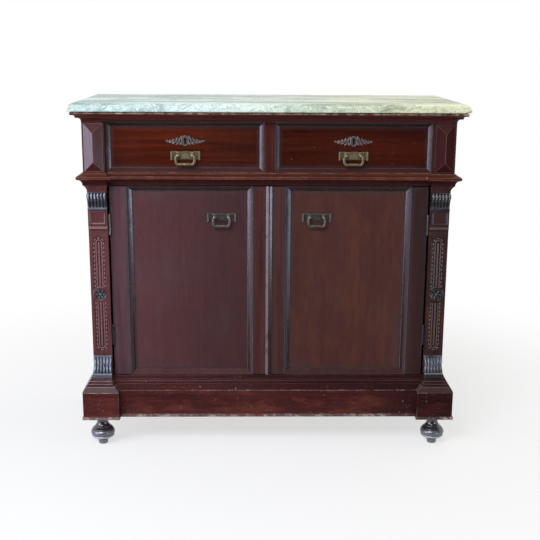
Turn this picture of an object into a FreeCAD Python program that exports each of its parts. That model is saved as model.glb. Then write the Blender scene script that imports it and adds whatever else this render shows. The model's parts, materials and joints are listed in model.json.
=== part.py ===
import FreeCAD, Part
import math
import os
from FreeCAD import Vector

os.makedirs("parts", exist_ok=True)

# Marble-top cabinet: two drawers over a two-door cupboard, on a plinth with four turned feet.
# Millimetres. The origin is on the floor under the middle of the marble; the front faces -Y.

# Heights, from the floor up
foot_height = 90.0
plinth_height = 83.0
cupboard_height = 604.0
waist_height = 35.0
frieze_height = 141.0
cornice_height = 29.0
marble_thickness = 22.0

# Marble slab
marble_width = 1100.0
marble_depth = 482.0
marble_edge_run = 12.0

# The carcass plane lies this far behind the marble's lip, at the front and at both sides
carcass_setback = 47.0
back_setback = 14.0

# How far each moulding stands forward of the carcass plane
cornice_projection = 41.0
block_projection = 14.0
waist_projection = 18.0
pilaster_projection = 6.0
plinth_projection = 11.0
plinth_block_projection = 37.0

# Widths of what stands at the front corners
block_width = 61.0
pilaster_width = 54.5
plinth_block_width = 104.0

# Boards and rails of the carcass
side_thickness = 24.0
side_panel_thickness = 8.0
panel_groove = 8.0
rear_post_width = 50.0
side_top_rail_height = 30.0
side_bottom_rail_height = 57.0
top_rail_depth = 50.0
front_rail_depth = 31.0
back_board_thickness = 12.0
back_board_count = 6
back_board_gap = 0.4
plinth_board_thickness = 24.0
plinth_rear_block_width = 80.0
plinth_bead_height = 9.0
plinth_bead_projection = 2.5
base_moulding_height = 41.0
base_rail_depth = 43.0
cap_gap = 1.5
floor_thickness = 18.0
floor_rise = 12.0
shelf_thickness = 18.0
shelf_height = 265.0
shelf_setback = 4.0
batten_width = 18.0
batten_height = 20.0
dust_board_thickness = 8.0
dust_board_rise = 15.0
divider_thickness = 18.0
muntin_width = 29.0
muntin_depth = 23.0
door_stop_height = 16.0
door_stop_thickness = 12.0

# Corner block with its raised lozenge
lozenge_margin = 4.5
lozenge_height = 13.0
lozenge_ridge = 1.0

# Pilaster: base scroll, shaft with two flutes and a rosette, capital
cap_height = 56.0
base_scroll_height = 49.0
base_scroll_projection = 22.0
capital_sill_height = 6.0
capital_block_height = 49.0
capital_fillet_height = 7.0
capital_scroll_height = 43.0
abacus_height = 19.0
capital_sill_projection = 12.0
capital_block_projection = 9.0
capital_fillet_projection = 13.0
capital_scroll_projection = 25.0
capital_panel_margin = 9.0
capital_panel_depth = 2.0
abacus_projection = 16.0
abacus_flare = 9.0
abacus_inner_flare = 3.0
flute_width = 30.0
flute_depth = 2.4
flute_foot_margin = 13.0
flute_head_margin = 23.0
tongue_width = 8.0
tongue_height = 2.0
rosette_diameter = 34.0
rosette_rise = 184.0
rosette_recess = 1.2
rosette_thickness = 4.5
rosette_seat_gap = 0.2
rosette_margin = 3.0

# Turned foot
foot_diameter = 71.0
foot_setback = 58.0
rear_foot_inset = 36.0

# Doors
door_recess = 5.0
door_thickness = 26.0
door_edge_gap = 4.5
door_top_gap = 3.0
door_bottom_gap = 2.0
door_meeting_gap = 2.0
door_stop_gap = 0.4
hinge_stile_width = 48.0
meeting_stile_width = 45.4
door_rail_height = 50.0
door_panel_recess = 10.0
door_panel_thickness = 6.0
door_moulding_width = 15.0
door_moulding_edge = 2.0
astragal_width = 8.0
astragal_height = 6.0
astragal_edge = 2.5

# Butt hinges
hinge_length = 58.0
hinge_leaf = 2.0
hinge_leaf_inset = 3.0
knuckle_radius = 3.6
knuckle_clearance = 0.3
pin_radius = 1.6
pin_clearance = 0.05
pin_head_height = 2.5
upper_hinge_drop = 110.0
lower_hinge_rise = 122.0

# Drawers
drawer_gap = 1.5
drawer_running_gap = 0.3
drawer_front_thickness = 16.0
drawer_moulding_width = 11.5
drawer_moulding_depth = 8.0
drawer_moulding_edge = 1.5
drawer_side_thickness = 10.0
drawer_side_height = 108.0
drawer_rear_gap = 26.0
drawer_bottom_thickness = 6.0
drawer_bottom_rise = 8.0
drawer_guide_height = 28.0
drawer_guide_gap = 1.0

# Drawer lock and keyhole plate
lock_width = 58.0
lock_height = 46.0
lock_depth = 12.0
lock_wall = 1.5
bolt_width = 18.0
bolt_thickness = 6.0
bolt_height = 26.0
bolt_clearance = 0.3
bolt_travel = 8.0
mortise_clearance = 1.0
key_radius = 2.8
key_slot_width = 2.6
key_slot_length = 9.0
escutcheon_width = 110.0
escutcheon_height = 30.0
escutcheon_thickness = 2.0
escutcheon_drop = 50.0

# Bail pulls
pull_width = 85.0
pull_height = 25.0
pull_thickness = 2.0
pull_flange_width = 5.0
pull_flange_height = 3.0
pull_post_spacing = 42.0
pull_post_radius = 3.5
pull_post_length = 13.0
pull_post_rise = 1.0
bail_axis_gap = 10.0
bail_drop = 25.0
bail_radius = 2.0
bail_corner = 3.4
bail_side_gap = 0.35
bail_clearance = 0.08
drawer_pull_drop = 92.5
door_pull_drop = 91.0
door_pull_offset = 135.0

# One overrun serves every cut
overrun = 5.0

# Profiles as shares of a moulding's projection and height. A pair of points is an arc's middle and end.
cornice_shares = [
    (0, 0), (0.35, 0), (0.35, 0.07), ((0.44, 0.30), (0.63, 0.38)), (0.69, 0.38), (0.69, 0.46),
    ((0.74, 0.60), (0.85, 0.66)), ((1.0, 0.82), (0.87, 0.97)), (0.87, 1), (0, 1),
]
waist_shares = [
    (0, 0), (0.15, 0), (0.15, 0.08), ((0.30, 0.31), (0.62, 0.46)), (0.70, 0.46), (0.95, 0.52),
    (1.0, 0.56), (1.0, 0.70), (0.92, 0.75), (0.36, 0.86), (0.30, 0.86), (0.10, 1), (0, 1),
]
base_shares = [
    (0, 0), (1.0, 0), (1.0, 0.04), (0.55, 0.44), (0.36, 0.46), (0.30, 0.62), (0.10, 0.66),
    (0.04, 0.74), (0, 0.76),
]
capital_scroll_shares = [
    (0, 0), (0.42, 0), ((0.50, 0.26), (0.74, 0.50)), ((1.0, 0.76), (0.70, 0.97)), (0.62, 1), (0, 1),
]
base_scroll_shares = [
    (0, 0), (0.94, 0), (0.94, 0.05), ((0.64, 0.27), (0.53, 0.55)), ((0.63, 0.79), (0.42, 0.91)),
    (0.42, 0.94), (0.30, 1), (0, 1),
]
# Radius and height shares of the foot, from the floor up
foot_shares = [
    (0, 0), (0.38, 0), (0.42, 0.13), ((0.68, 0.19), (0.90, 0.265)), ((0.94, 0.295), (0.90, 0.325)),
    ((1.0, 0.40), (0.86, 0.52)), (0.82, 0.535), (0.72, 0.585), (0.63, 0.605), ((0.46, 0.655), (0.41, 0.695)),
    ((0.48, 0.755), (0.72, 0.80)), (0.77, 0.82), (0.77, 1), (0, 1),
]
# Inset and height shares of the marble's edge, from its underside up
marble_edge_shares = [
    (0.25, 0), (0, 0.10), (0, 0.36), (0.18, 0.42), (0.24, 0.60), (0.45, 0.82), (0.74, 0.95), (1, 1),
]
# Height, outer side, inner side and front shares of the plinth cap, from its top down
cap_shares = [
    (1, 0, 0, 0.58), (0.95, 0.04, 0, 0.67), (0.87, 0.11, 0, 0.72), (0.78, 0.18, 0, 0.73),
    (0.78, 0.18, 0, 0.69), (0.59, 0.38, 0, 0.72), (0.59, 0.38, 0, 0.79), (0.55, 0.42, 0, 0.80),
    (0.45, 0.54, 0.06, 0.80), (0.45, 0.54, 0.10, 0.86), (0.30, 0.72, 0.42, 0.90), (0.30, 0.72, 0.46, 0.93),
    (0.06, 0.98, 0.96, 1), (0, 1, 1, 1),
]
# Half outline of the keyhole plate, from its top middle round to its bottom middle
escutcheon_shares = [
    (0, 1), (0.14, 0.92), (0.22, 0.60), (0.46, 0.74), (0.62, 0.40), (0.84, 0.46), (1, 0.06),
    (0.82, -0.14), (0.66, -0.40), (0.44, -0.30), (0.30, -0.62), (0.16, -0.74), (0, -1),
]
rosette_shares = [
    (0, 0), (1, 0), (1, 0.34), ((0.72, 0.60), (0.42, 0.34)), (0.32, 0.40), ((0.26, 0.80), (0.12, 1)),
    (0, 1),
]

# Levels
plinth_z = foot_height
cupboard_z = plinth_z + plinth_height
waist_z = cupboard_z + cupboard_height
frieze_z = waist_z + waist_height
cornice_z = frieze_z + frieze_height
marble_z = cornice_z + cornice_height

# Planes: x at the right-hand side, y at the front
lip_x = marble_width / 2
lip_y = -marble_depth / 2
carcass_x = lip_x - carcass_setback
carcass_y = lip_y + carcass_setback
back_y = -lip_y - back_setback
back_board_y = back_y - back_board_thickness

# Front post: flush with the pilaster's outer side, as deep as the plinth block behind the carcass plane
post_outer_x = carcass_x + pilaster_projection
post_inner_x = post_outer_x - pilaster_width
plinth_block_x = carcass_x + plinth_block_projection
plinth_block_y = carcass_y - plinth_block_projection
post_rear_y = plinth_block_y + plinth_block_width
side_inner_x = carcass_x - side_thickness
rear_post_y = back_y - rear_post_width

# Doors and their stops
door_y = carcass_y + door_recess
door_back_y = door_y + door_thickness
door_outer_x = post_inner_x - door_edge_gap
door_inner_x = door_meeting_gap / 2
base_top_z = cupboard_z + base_moulding_height
door_bottom_z = base_top_z + door_bottom_gap
door_top_z = waist_z - door_top_gap
stop_y = door_back_y + door_stop_gap
front_rail_y = carcass_y + front_rail_depth
floor_top_z = base_top_z + floor_rise
floor_z = floor_top_z - floor_thickness

# Drawers
dust_board_z = waist_z + dust_board_rise
runner_z = dust_board_z + dust_board_thickness
drawer_face_y = carcass_y + drawer_moulding_depth
drawer_box_y = drawer_face_y + drawer_front_thickness
drawer_back_y = back_board_y - drawer_rear_gap
drawer_inner_x = muntin_width / 2 + drawer_gap
drawer_outer_x = post_inner_x - drawer_gap
drawer_bottom_z = frieze_z + drawer_gap
drawer_top_z = cornice_z - drawer_gap
drawer_middle_x = (drawer_inner_x + drawer_outer_x) / 2
box_inner_x = drawer_inner_x + drawer_guide_gap
box_outer_x = drawer_outer_x - drawer_guide_gap
runner_top_z = frieze_z + drawer_running_gap
box_z = runner_top_z + drawer_running_gap

# The hinge pin stands just in front of the door's face, with its knuckle beside the post
hinge_axis_x = post_inner_x - knuckle_clearance - knuckle_radius
hinge_axis_y = door_y - knuckle_radius - 2 * knuckle_clearance

# Clear span of a door between its stiles
door_panel_x0 = door_inner_x + meeting_stile_width
door_panel_x1 = door_outer_x - hinge_stile_width
door_panel_y = door_y + door_panel_recess

# Heights of the pulls
drawer_pull_z = drawer_top_z - drawer_pull_drop
door_pull_z = door_top_z - door_pull_drop


def box(x0, x1, y0, y1, z0, z1):
    """Box between two corners."""
    return Part.makeBox(x1 - x0, y1 - y0, z1 - z0, Vector(x0, y0, z0))


def mirrored(shape):
    """The same shape on the other side of the cabinet."""
    return shape.mirror(Vector(0, 0, 0), Vector(1, 0, 0))


def pair(shape):
    """A right-hand shape and its left-hand twin."""
    return [shape, mirrored(shape)]


def polygon_face(points):
    return Part.Face(Part.makePolygon(points + points[:1]))


def frustum(low, high):
    """Solid between two level rectangles, each given as x0, x1, y0, y1, z."""
    rings = []
    for x0, x1, y0, y1, z in (low, high):
        rings.append([Vector(x0, y0, z), Vector(x1, y0, z), Vector(x1, y1, z), Vector(x0, y1, z)])
    faces = [polygon_face(rings[0]), polygon_face(rings[1])]
    for i in range(4):
        j = (i + 1) % 4
        faces.append(polygon_face([rings[0][i], rings[0][j], rings[1][j], rings[1][i]]))
    solid = Part.makeSolid(Part.makeShell(faces))
    if solid.Volume < 0:
        solid.reverse()
    return solid


def stack(levels):
    """One solid from level rectangles, from the bottom up; two at one height make a ledge."""
    layers = []
    for low, high in zip(levels, levels[1:]):
        if high[4] > low[4]:
            layers.append(frustum(low, high))
    return joined(layers)


def joined(shapes):
    """One solid from touching or overlapping shapes, without the seams."""
    if len(shapes) == 1:
        return shapes[0]
    return shapes[0].multiFuse(shapes[1:]).removeSplitter().Solids[0]


def section(shares, reach, height):
    """Face in the XZ plane from shares of a reach along X and a height along Z."""
    def place(point):
        return Vector(point[0] * reach, 0, point[1] * height)

    edges = []
    here = place(shares[0])
    for step in shares[1:] + shares[:1]:
        if isinstance(step[0], tuple):
            end = place(step[1])
            edges.append(Part.Arc(here, place(step[0]), end).toShape())
        else:
            end = place(step)
            edges.append(Part.LineSegment(here, end).toShape())
        here = end
    return Part.Face(Part.Wire(edges))


def mitred_run(profile, path, closed=False):
    """Mouldings along a plan path, mitred where it turns. The profile's X points right of the path."""
    points = [Vector(x, y, 0) for x, y in path]
    count = len(points)
    spans = count if closed else count - 1
    ways = []
    normals = []
    for i in range(spans):
        way = (points[(i + 1) % count] - points[i]).normalize()
        ways.append(way)
        normals.append(Vector(way.y, -way.x, 0))

    def mitre(i):
        if not closed and i == 0:
            return normals[0]
        if not closed and i == spans:
            return normals[-1]
        before = normals[i - 1]
        after = normals[i % spans]
        return (before + after) * (1 / (1 + before.dot(after)))

    bounds = profile.BoundBox
    runs = []
    for i in range(spans):
        start = points[i]
        end = points[(i + 1) % count]
        normal = normals[i]
        reach = max(abs(bounds.XMin), abs(bounds.XMax)) + overrun
        bar = profile.copy()
        bar.rotate(Vector(0, 0, 0), Vector(0, 0, 1), math.degrees(math.atan2(normal.y, normal.x)))
        bar.translate(start - ways[i] * reach)
        bar = bar.extrude(ways[i] * ((end - start).Length + 2 * reach))
        first = mitre(i)
        last = mitre(i + 1)
        low = Vector(0, 0, bounds.ZMin - overrun)
        inside = bounds.XMin - overrun
        outside = bounds.XMax + overrun
        corners = [start + first * inside, start + first * outside, end + last * outside, end + last * inside]
        ends = polygon_face([corner + low for corner in corners])
        ends = ends.extrude(Vector(0, 0, bounds.ZLength + 2 * overrun))
        runs.append(bar.common(ends).Solids[0])
    return runs


def lifted(shapes, z):
    """The shapes raised by z."""
    for shape in shapes:
        shape.translate(Vector(0, 0, z))
    return shapes


def front(shape, y):
    """A shape drawn on the front elevation, with X across, Y up and Z towards the viewer, set on plane y."""
    shape.rotate(Vector(0, 0, 0), Vector(1, 0, 0), 90)
    shape.translate(Vector(0, y, 0))
    return shape


def save(name, shapes):
    """Write one node: one solid, or a group of separate solids."""
    shape = shapes[0] if len(shapes) == 1 else Part.makeCompound(shapes)
    for solid in shape.Solids:
        if not solid.isValid() or solid.Volume <= 0:
            print(name, "has a bad solid")
    shape.exportStep("parts/" + name + ".step")


def marble_top():
    levels = []
    for inset, height in marble_edge_shares:
        x = lip_x - inset * marble_edge_run
        levels.append((-x, x, lip_y + inset * marble_edge_run, -lip_y, marble_z + height * marble_thickness))
    return [stack(levels)]


def bolt_box(clearance, low, high):
    """The space of the right-hand drawer's lock bolt between two levels."""
    y = drawer_box_y + lock_depth / 2
    x_reach = bolt_width / 2 + clearance
    y_reach = bolt_thickness / 2 + clearance
    x = drawer_middle_x
    return box(x - x_reach, x + x_reach, y - y_reach, y + y_reach, low, high)


def top_frame():
    """Four rails under the marble; the front one has a mortise for each drawer's bolt."""
    top = marble_z
    rail_y = carcass_y + top_rail_depth
    front_rail = box(-carcass_x, carcass_x, carcass_y, rail_y, cornice_z, top)
    mortise_top = cornice_z + bolt_travel + mortise_clearance
    for mortise in pair(bolt_box(mortise_clearance, cornice_z - overrun, mortise_top)):
        front_rail = front_rail.cut(mortise)
    rear_rail = box(-carcass_x, carcass_x, back_y - top_rail_depth, back_y, cornice_z, top)
    end_rail = box(carcass_x - top_rail_depth, carcass_x, rail_y, back_y - top_rail_depth, cornice_z, top)
    return [front_rail.Solids[0], rear_rail] + pair(end_rail)


def cornice():
    profile = section(cornice_shares, cornice_projection, cornice_height)
    path = [(-carcass_x, back_y), (-carcass_x, carcass_y), (carcass_x, carcass_y), (carcass_x, back_y)]
    return lifted(mitred_run(profile, path), cornice_z)


def waist_moulding():
    """The waist runs round the carcass and breaks forward, over a core, round both front corners."""
    profile = section(waist_shares, waist_projection, waist_height)
    x = carcass_x + block_projection
    y = carcass_y - block_projection
    left = [
        (-carcass_x, back_y), (-carcass_x, post_rear_y), (-x, post_rear_y), (-x, y),
        (block_width - x, y), (block_width - x, carcass_y),
    ]
    right = [(-px, py) for px, py in reversed(left)]
    runs = lifted(mitred_run(profile, left + right), waist_z)
    core = joined([
        box(x - block_width, x, y, carcass_y, waist_z, frieze_z),
        box(post_outer_x, x, carcass_y, post_rear_y, waist_z, frieze_z),
    ])
    return runs + pair(core)


def front_posts(panels):
    post = box(post_inner_x, post_outer_x, carcass_y, post_rear_y, cupboard_z, cornice_z)
    for panel in panels:
        post = post.cut(panel)
    return pair(post.Solids[0])


def side_rail_levels():
    """Bottom and top of the bottom, waist and top rails of each side."""
    return [
        (cupboard_z, cupboard_z + side_bottom_rail_height),
        (waist_z, frieze_z),
        (cornice_z - side_top_rail_height, cornice_z),
    ]


def side_panels():
    """Right-hand panels: one beside the cupboard and one beside the drawers, each in a groove all round."""
    middle = (side_inner_x + carcass_x) / 2
    levels = side_rail_levels()
    panels = []
    for low, high in zip(levels, levels[1:]):
        panels.append(box(
            middle - side_panel_thickness / 2, middle + side_panel_thickness / 2,
            post_rear_y - panel_groove, rear_post_y + panel_groove,
            low[1] - panel_groove, high[0] + panel_groove,
        ))
    return panels


def side_frames(panels):
    members = [box(side_inner_x, carcass_x, rear_post_y, back_y, cupboard_z, cornice_z)]
    for low, high in side_rail_levels():
        members.append(box(side_inner_x, carcass_x, post_rear_y, rear_post_y, low, high))
    solids = []
    for member in members:
        for panel in panels:
            member = member.cut(panel)
        solids += pair(member.Solids[0])
    return solids


def back_boards():
    width = 2 * side_inner_x / back_board_count
    boards = []
    for i in range(back_board_count):
        x = -side_inner_x + i * width
        gap = back_board_gap if i < back_board_count - 1 else 0
        boards.append(box(x, x + width - gap, back_board_y, back_y, cupboard_z, cornice_z))
    return boards


def notched_board(y, low, high):
    """A board between the sides, cut round the front posts."""
    wide = box(-side_inner_x, side_inner_x, post_rear_y, back_board_y, low, high)
    narrow = box(-post_inner_x, post_inner_x, y, post_rear_y, low, high)
    return joined([wide, narrow])


def battens():
    """Strips inside both sides, under the shelf and under the floor."""
    solids = []
    shelf_z = floor_top_z + shelf_height
    for top in (floor_z, shelf_z):
        x = side_inner_x - batten_width
        solids += pair(box(x, side_inner_x, post_rear_y, back_board_y, top - batten_height, top))
    return solids


def shelf():
    low = floor_top_z + shelf_height
    x = side_inner_x - drawer_running_gap
    return [box(-x, x, post_rear_y + shelf_setback, back_board_y, low, low + shelf_thickness)]


def waist_rail():
    """The rail over the doors, and the strip behind the doors' top edges that stops them."""
    rail = box(-post_inner_x, post_inner_x, carcass_y, front_rail_y, waist_z, frieze_z)
    low = door_top_z - door_stop_height
    stop = box(-post_inner_x, post_inner_x, stop_y, stop_y + door_stop_thickness, low, dust_board_z)
    return [rail, stop.cut(rail).Solids[0]]


def drawer_divider():
    half = divider_thickness / 2
    muntin_y = carcass_y + muntin_depth
    board = box(-half, half, muntin_y, back_board_y, runner_z, cornice_z)
    board = board.cut(box(-half, half, carcass_y, front_rail_y, runner_z, frieze_z))
    muntin = box(-muntin_width / 2, muntin_width / 2, carcass_y, muntin_y, frieze_z, cornice_z)
    return [board.Solids[0], muntin]


def outer_runner():
    """Right-hand drawer's bearer beside the front post."""
    x = box_outer_x - drawer_side_thickness
    return box(x, post_inner_x, front_rail_y, back_board_y, runner_z, runner_top_z)


def drawer_runners():
    """Two bearers under each drawer, from the front rail to the back."""
    x = box_inner_x + drawer_side_thickness
    inner = box(divider_thickness / 2, x, front_rail_y, back_board_y, runner_z, runner_top_z)
    return pair(inner) + pair(outer_runner())


def drawer_guides():
    """Strips that keep the drawer boxes straight: beside the divider and behind the front posts."""
    top = runner_top_z + drawer_guide_height
    x0 = divider_thickness / 2
    x1 = drawer_inner_x - drawer_running_gap
    inner = box(x0, x1, carcass_y + muntin_depth, back_board_y, runner_top_z, top)
    x0 = drawer_outer_x + drawer_running_gap
    outer = box(x0, side_inner_x, post_rear_y, back_board_y, runner_z, top)
    return pair(inner) + pair(outer.cut(outer_runner()).Solids[0])


def corner_blocks():
    """A block with a raised lozenge at each front corner, and its return along the side."""
    x1 = carcass_x + block_projection
    x0 = x1 - block_width
    y0 = carcass_y - block_projection
    plate = box(x0, x1, y0, carcass_y, frieze_z, cornice_z)
    half = (block_width - lozenge_margin * 2) / 2
    middle = (x0 + x1) / 2
    ridge = lozenge_ridge / 2
    low = (
        middle - half, middle + half, frieze_z + lozenge_margin, cornice_z - lozenge_margin, 0,
    )
    high = (
        middle - ridge, middle + ridge, frieze_z + lozenge_margin + half, cornice_z - lozenge_margin - half,
        lozenge_height,
    )
    face = joined([plate, front(frustum(low, high), y0)])
    side = box(post_outer_x, x1, carcass_y, post_rear_y, frieze_z, cornice_z)
    return pair(face) + pair(side)


def across_pilaster(shares, reach, height, z):
    """A profile drawn forward from the carcass plane and run across the pilaster's width."""
    face = section(shares, reach, height)
    face.rotate(Vector(0, 0, 0), Vector(0, 0, 1), -90)
    face.translate(Vector(post_inner_x, carcass_y, z))
    return face.extrude(Vector(pilaster_width, 0, 0))


def plate(projection, low, high):
    """A plain band of the pilaster between two levels."""
    return box(post_inner_x, post_outer_x, carcass_y - projection, carcass_y, low, high)


def capital_levels():
    """Bottom of the sill, block, fillet, scroll and abacus of the capital, and the abacus's top."""
    abacus = waist_z - abacus_height
    scroll = abacus - capital_scroll_height
    fillet = scroll - capital_fillet_height
    block = fillet - capital_block_height
    return block - capital_sill_height, block, fillet, scroll, abacus, waist_z


def capitals():
    sill, block, fillet, scroll, abacus, top = capital_levels()
    panel = box(
        post_inner_x + capital_panel_margin, post_outer_x - capital_panel_margin,
        carcass_y - capital_block_projection - overrun,
        carcass_y - capital_block_projection + capital_panel_depth,
        block + capital_panel_margin, fillet - capital_panel_margin,
    )
    low = (post_inner_x, post_outer_x, carcass_y - capital_block_projection, carcass_y, abacus)
    high = (
        post_inner_x - abacus_inner_flare, post_outer_x + abacus_flare,
        carcass_y - abacus_projection, carcass_y, top,
    )
    bands = [
        plate(capital_sill_projection, sill, block),
        plate(capital_block_projection, block, fillet).cut(panel),
        plate(capital_fillet_projection, fillet, scroll),
        across_pilaster(capital_scroll_shares, capital_scroll_projection, capital_scroll_height, scroll),
        frustum(low, high),
    ]
    return pair(joined(bands))


def shaft_levels():
    """Bottom and top of the shaft, between the base scroll and the capital's sill."""
    return cupboard_z + cap_height + base_scroll_height, capital_levels()[0]


def slot(width, low, high):
    """Elevation of an upright slot with round ends, centred on x = 0."""
    r = width / 2
    points = [Vector(r, low + r, 0), Vector(r, high - r, 0), Vector(-r, high - r, 0), Vector(-r, low + r, 0)]
    edges = [
        Part.LineSegment(points[0], points[1]).toShape(),
        Part.Arc(points[1], Vector(0, high, 0), points[2]).toShape(),
        Part.LineSegment(points[2], points[3]).toShape(),
        Part.Arc(points[3], Vector(0, low, 0), points[0]).toShape(),
    ]
    return Part.Face(Part.Wire(edges))


def pilaster_shafts():
    """The shaft has a long flute above and below a rosette, each with a raised tongue along its middle."""
    low, high = shaft_levels()
    middle_x = (post_inner_x + post_outer_x) / 2
    middle_z = low + rosette_rise
    face_y = carcass_y - pilaster_projection
    shaft = plate(pilaster_projection, low, high)
    rim = rosette_diameter / 2 + rosette_margin
    spans = [(low + flute_foot_margin, middle_z - rim), (middle_z + rim, high - flute_head_margin)]
    inset = (flute_width - tongue_width) / 2
    for z0, z1 in spans:
        flute = slot(flute_width, z0, z1).extrude(Vector(0, 0, flute_depth + overrun))
        tongue = slot(tongue_width, z0 + inset, z1 - inset)
        tongue = tongue.extrude(Vector(0, 0, tongue_height))
        carving = front(flute.cut(tongue), face_y + flute_depth)
        carving.translate(Vector(middle_x, 0, 0))
        shaft = shaft.cut(carving)
    seat = Part.makeCylinder(rosette_diameter / 2 + rosette_seat_gap, rosette_recess + overrun)
    seat = front(seat, face_y + rosette_recess)
    seat.translate(Vector(middle_x, 0, middle_z))
    return pair(shaft.cut(seat).Solids[0])


def rosettes():
    middle_z = shaft_levels()[0] + rosette_rise
    face = section(rosette_shares, rosette_diameter / 2, rosette_thickness)
    disc = face.revolve(Vector(0, 0, 0), Vector(0, 0, 1), 360)
    disc = front(disc, carcass_y - pilaster_projection + rosette_recess)
    disc.translate(Vector((post_inner_x + post_outer_x) / 2, 0, middle_z))
    return pair(disc)


def pilaster_bases():
    z = cupboard_z + cap_height
    return pair(across_pilaster(base_scroll_shares, base_scroll_projection, base_scroll_height, z).Solids[0])


def plinth_cap():
    """Right-hand stepped cap, from the plinth block up to the foot of the pilaster."""
    side_run = plinth_block_x - post_outer_x
    inner_run = post_inner_x - (plinth_block_x - plinth_block_width)
    levels = []
    for height, outer, inner, forward in reversed(cap_shares):
        levels.append((
            post_inner_x - inner * inner_run, post_outer_x + outer * side_run,
            carcass_y - forward * plinth_block_projection, post_rear_y,
            cupboard_z + height * cap_height,
        ))
    cap = stack(levels)
    behind = box(-lip_x, post_outer_x, carcass_y, -lip_y, cupboard_z - overrun, waist_z)
    return cap.cut(behind).Solids[0]


def base_moulding(cap):
    """The stepped base: a deep front rail cut to the plinth caps, and a run along each side."""
    profile = section(base_shares, plinth_projection, base_moulding_height)
    path = [(-post_inner_x, carcass_y), (post_inner_x, carcass_y)]
    rail = lifted(mitred_run(profile, path), cupboard_z)[0]
    rear_y = carcass_y + base_rail_depth
    body = box(-post_inner_x, post_inner_x, carcass_y, rear_y, cupboard_z, base_top_z)
    rebate = box(-post_inner_x, post_inner_x, stop_y, rear_y + overrun, floor_z, base_top_z + overrun)
    rail = joined([rail, body]).cut(rebate)
    grown = joined([cap, cap.translated(Vector(-cap_gap, 0, 0))])
    for cutter in pair(grown):
        rail = rail.cut(cutter)
    side = lifted(mitred_run(profile, [(carcass_x, post_rear_y), (carcass_x, back_y)]), cupboard_z)
    return [rail.Solids[0]] + pair(side[0])


def beaded(x0, x1, y0, y1, bead_x0, bead_x1, bead_y0):
    """A plinth board with a bead along its foot."""
    bead = box(bead_x0, bead_x1, bead_y0, y1, plinth_z, plinth_z + plinth_bead_height)
    return joined([box(x0, x1, y0, y1, plinth_z, cupboard_z), bead])


def plinth_blocks():
    """A square block under each front post and a smaller one under each rear post."""
    bead = plinth_bead_projection
    x0 = plinth_block_x - plinth_block_width
    front_block = beaded(
        x0, plinth_block_x, plinth_block_y, post_rear_y, x0 - bead, plinth_block_x + bead, plinth_block_y - bead,
    )
    x1 = carcass_x + plinth_projection
    y0 = back_y - plinth_rear_block_width
    rear_block = beaded(x1 - plinth_rear_block_width, x1, y0, back_y, x1 - plinth_rear_block_width, x1 + bead, y0)
    return pair(front_block) + pair(rear_block)


def plinth_boards():
    """The plinth between its blocks: front, both sides and back."""
    bead = plinth_bead_projection
    block_x = plinth_block_x - plinth_block_width
    y0 = carcass_y - plinth_projection
    front_board = beaded(
        -block_x, block_x, y0, y0 + plinth_board_thickness, bead - block_x, block_x - bead, y0 - bead,
    )
    front_board = front_board.cut(box(-block_x, bead - block_x, lip_y, 0, plinth_z, plinth_z + plinth_bead_height))
    front_board = front_board.cut(box(block_x - bead, block_x, lip_y, 0, plinth_z, plinth_z + plinth_bead_height))
    x1 = carcass_x + plinth_projection
    rear_y = back_y - plinth_rear_block_width
    x0 = x1 - plinth_board_thickness
    side_board = beaded(x0, x1, post_rear_y, rear_y, x0, x1 + bead, post_rear_y)
    rear_x = x1 - plinth_rear_block_width
    back_board = box(-rear_x, rear_x, back_y - plinth_board_thickness, back_y, plinth_z, cupboard_z)
    return [front_board.Solids[0]] + pair(side_board) + [back_board]


def feet():
    profile = section(foot_shares, foot_diameter / 2, foot_height)
    foot = profile.revolve(Vector(0, 0, 0), Vector(0, 0, 1), 360)
    front_foot = foot.translated(Vector(lip_x - foot_setback, lip_y + foot_setback, 0))
    rear_x = carcass_x + plinth_projection - rear_foot_inset
    rear_foot = foot.translated(Vector(rear_x, back_y - rear_foot_inset, 0))
    return pair(front_foot) + pair(rear_foot)


def hinge_levels():
    """Bottom of each hinge of a door."""
    return (
        door_bottom_z + lower_hinge_rise - hinge_length / 2,
        door_top_z - upper_hinge_drop - hinge_length / 2,
    )


def knuckle(low, high):
    centre = Vector(hinge_axis_x, hinge_axis_y, low)
    return Part.makeCylinder(knuckle_radius, high - low, centre)


def pin_bore(low):
    centre = Vector(hinge_axis_x, hinge_axis_y, low - overrun)
    return Part.makeCylinder(pin_radius + pin_clearance, hinge_length + 2 * overrun, centre)


def hinge_leaf_solid(x0, knuckles, low):
    """A hinge leaf with its own knuckles; the plate stays behind the other leaf's knuckles."""
    plate_y = door_y + knuckle_clearance
    rear_y = door_back_y - hinge_leaf_inset
    shapes = [box(x0, x0 + hinge_leaf, plate_y, rear_y, low, low + hinge_length)]
    for z0, z1 in knuckles:
        shapes.append(knuckle(z0, z1))
        shapes.append(box(x0, x0 + hinge_leaf, hinge_axis_y, plate_y, z0, z1))
    return joined(shapes).cut(pin_bore(low)).Solids[0]


def hinge_frame_leaves():
    third = hinge_length / 3
    leaves = []
    for low in hinge_levels():
        high = low + hinge_length
        knuckles = [(low, low + third - knuckle_clearance), (high - third + knuckle_clearance, high)]
        leaves += pair(hinge_leaf_solid(post_inner_x - hinge_leaf, knuckles, low))
    return leaves


def hinge_pins():
    pins = []
    for low in hinge_levels():
        base = Vector(hinge_axis_x, hinge_axis_y, low)
        rod = Part.makeCylinder(pin_radius, hinge_length + pin_head_height, base)
        head_base = Vector(hinge_axis_x, hinge_axis_y, low + hinge_length)
        head = Part.makeCone(knuckle_radius, pin_radius, pin_head_height, head_base)
        pins += pair(joined([rod, head]))
    return pins


def door_hinge_leaves():
    third = hinge_length / 3
    leaves = []
    for low in hinge_levels():
        knuckles = [(low + third, low + 2 * third)]
        leaves.append(hinge_leaf_solid(door_outer_x, knuckles, low))
    return leaves


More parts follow.
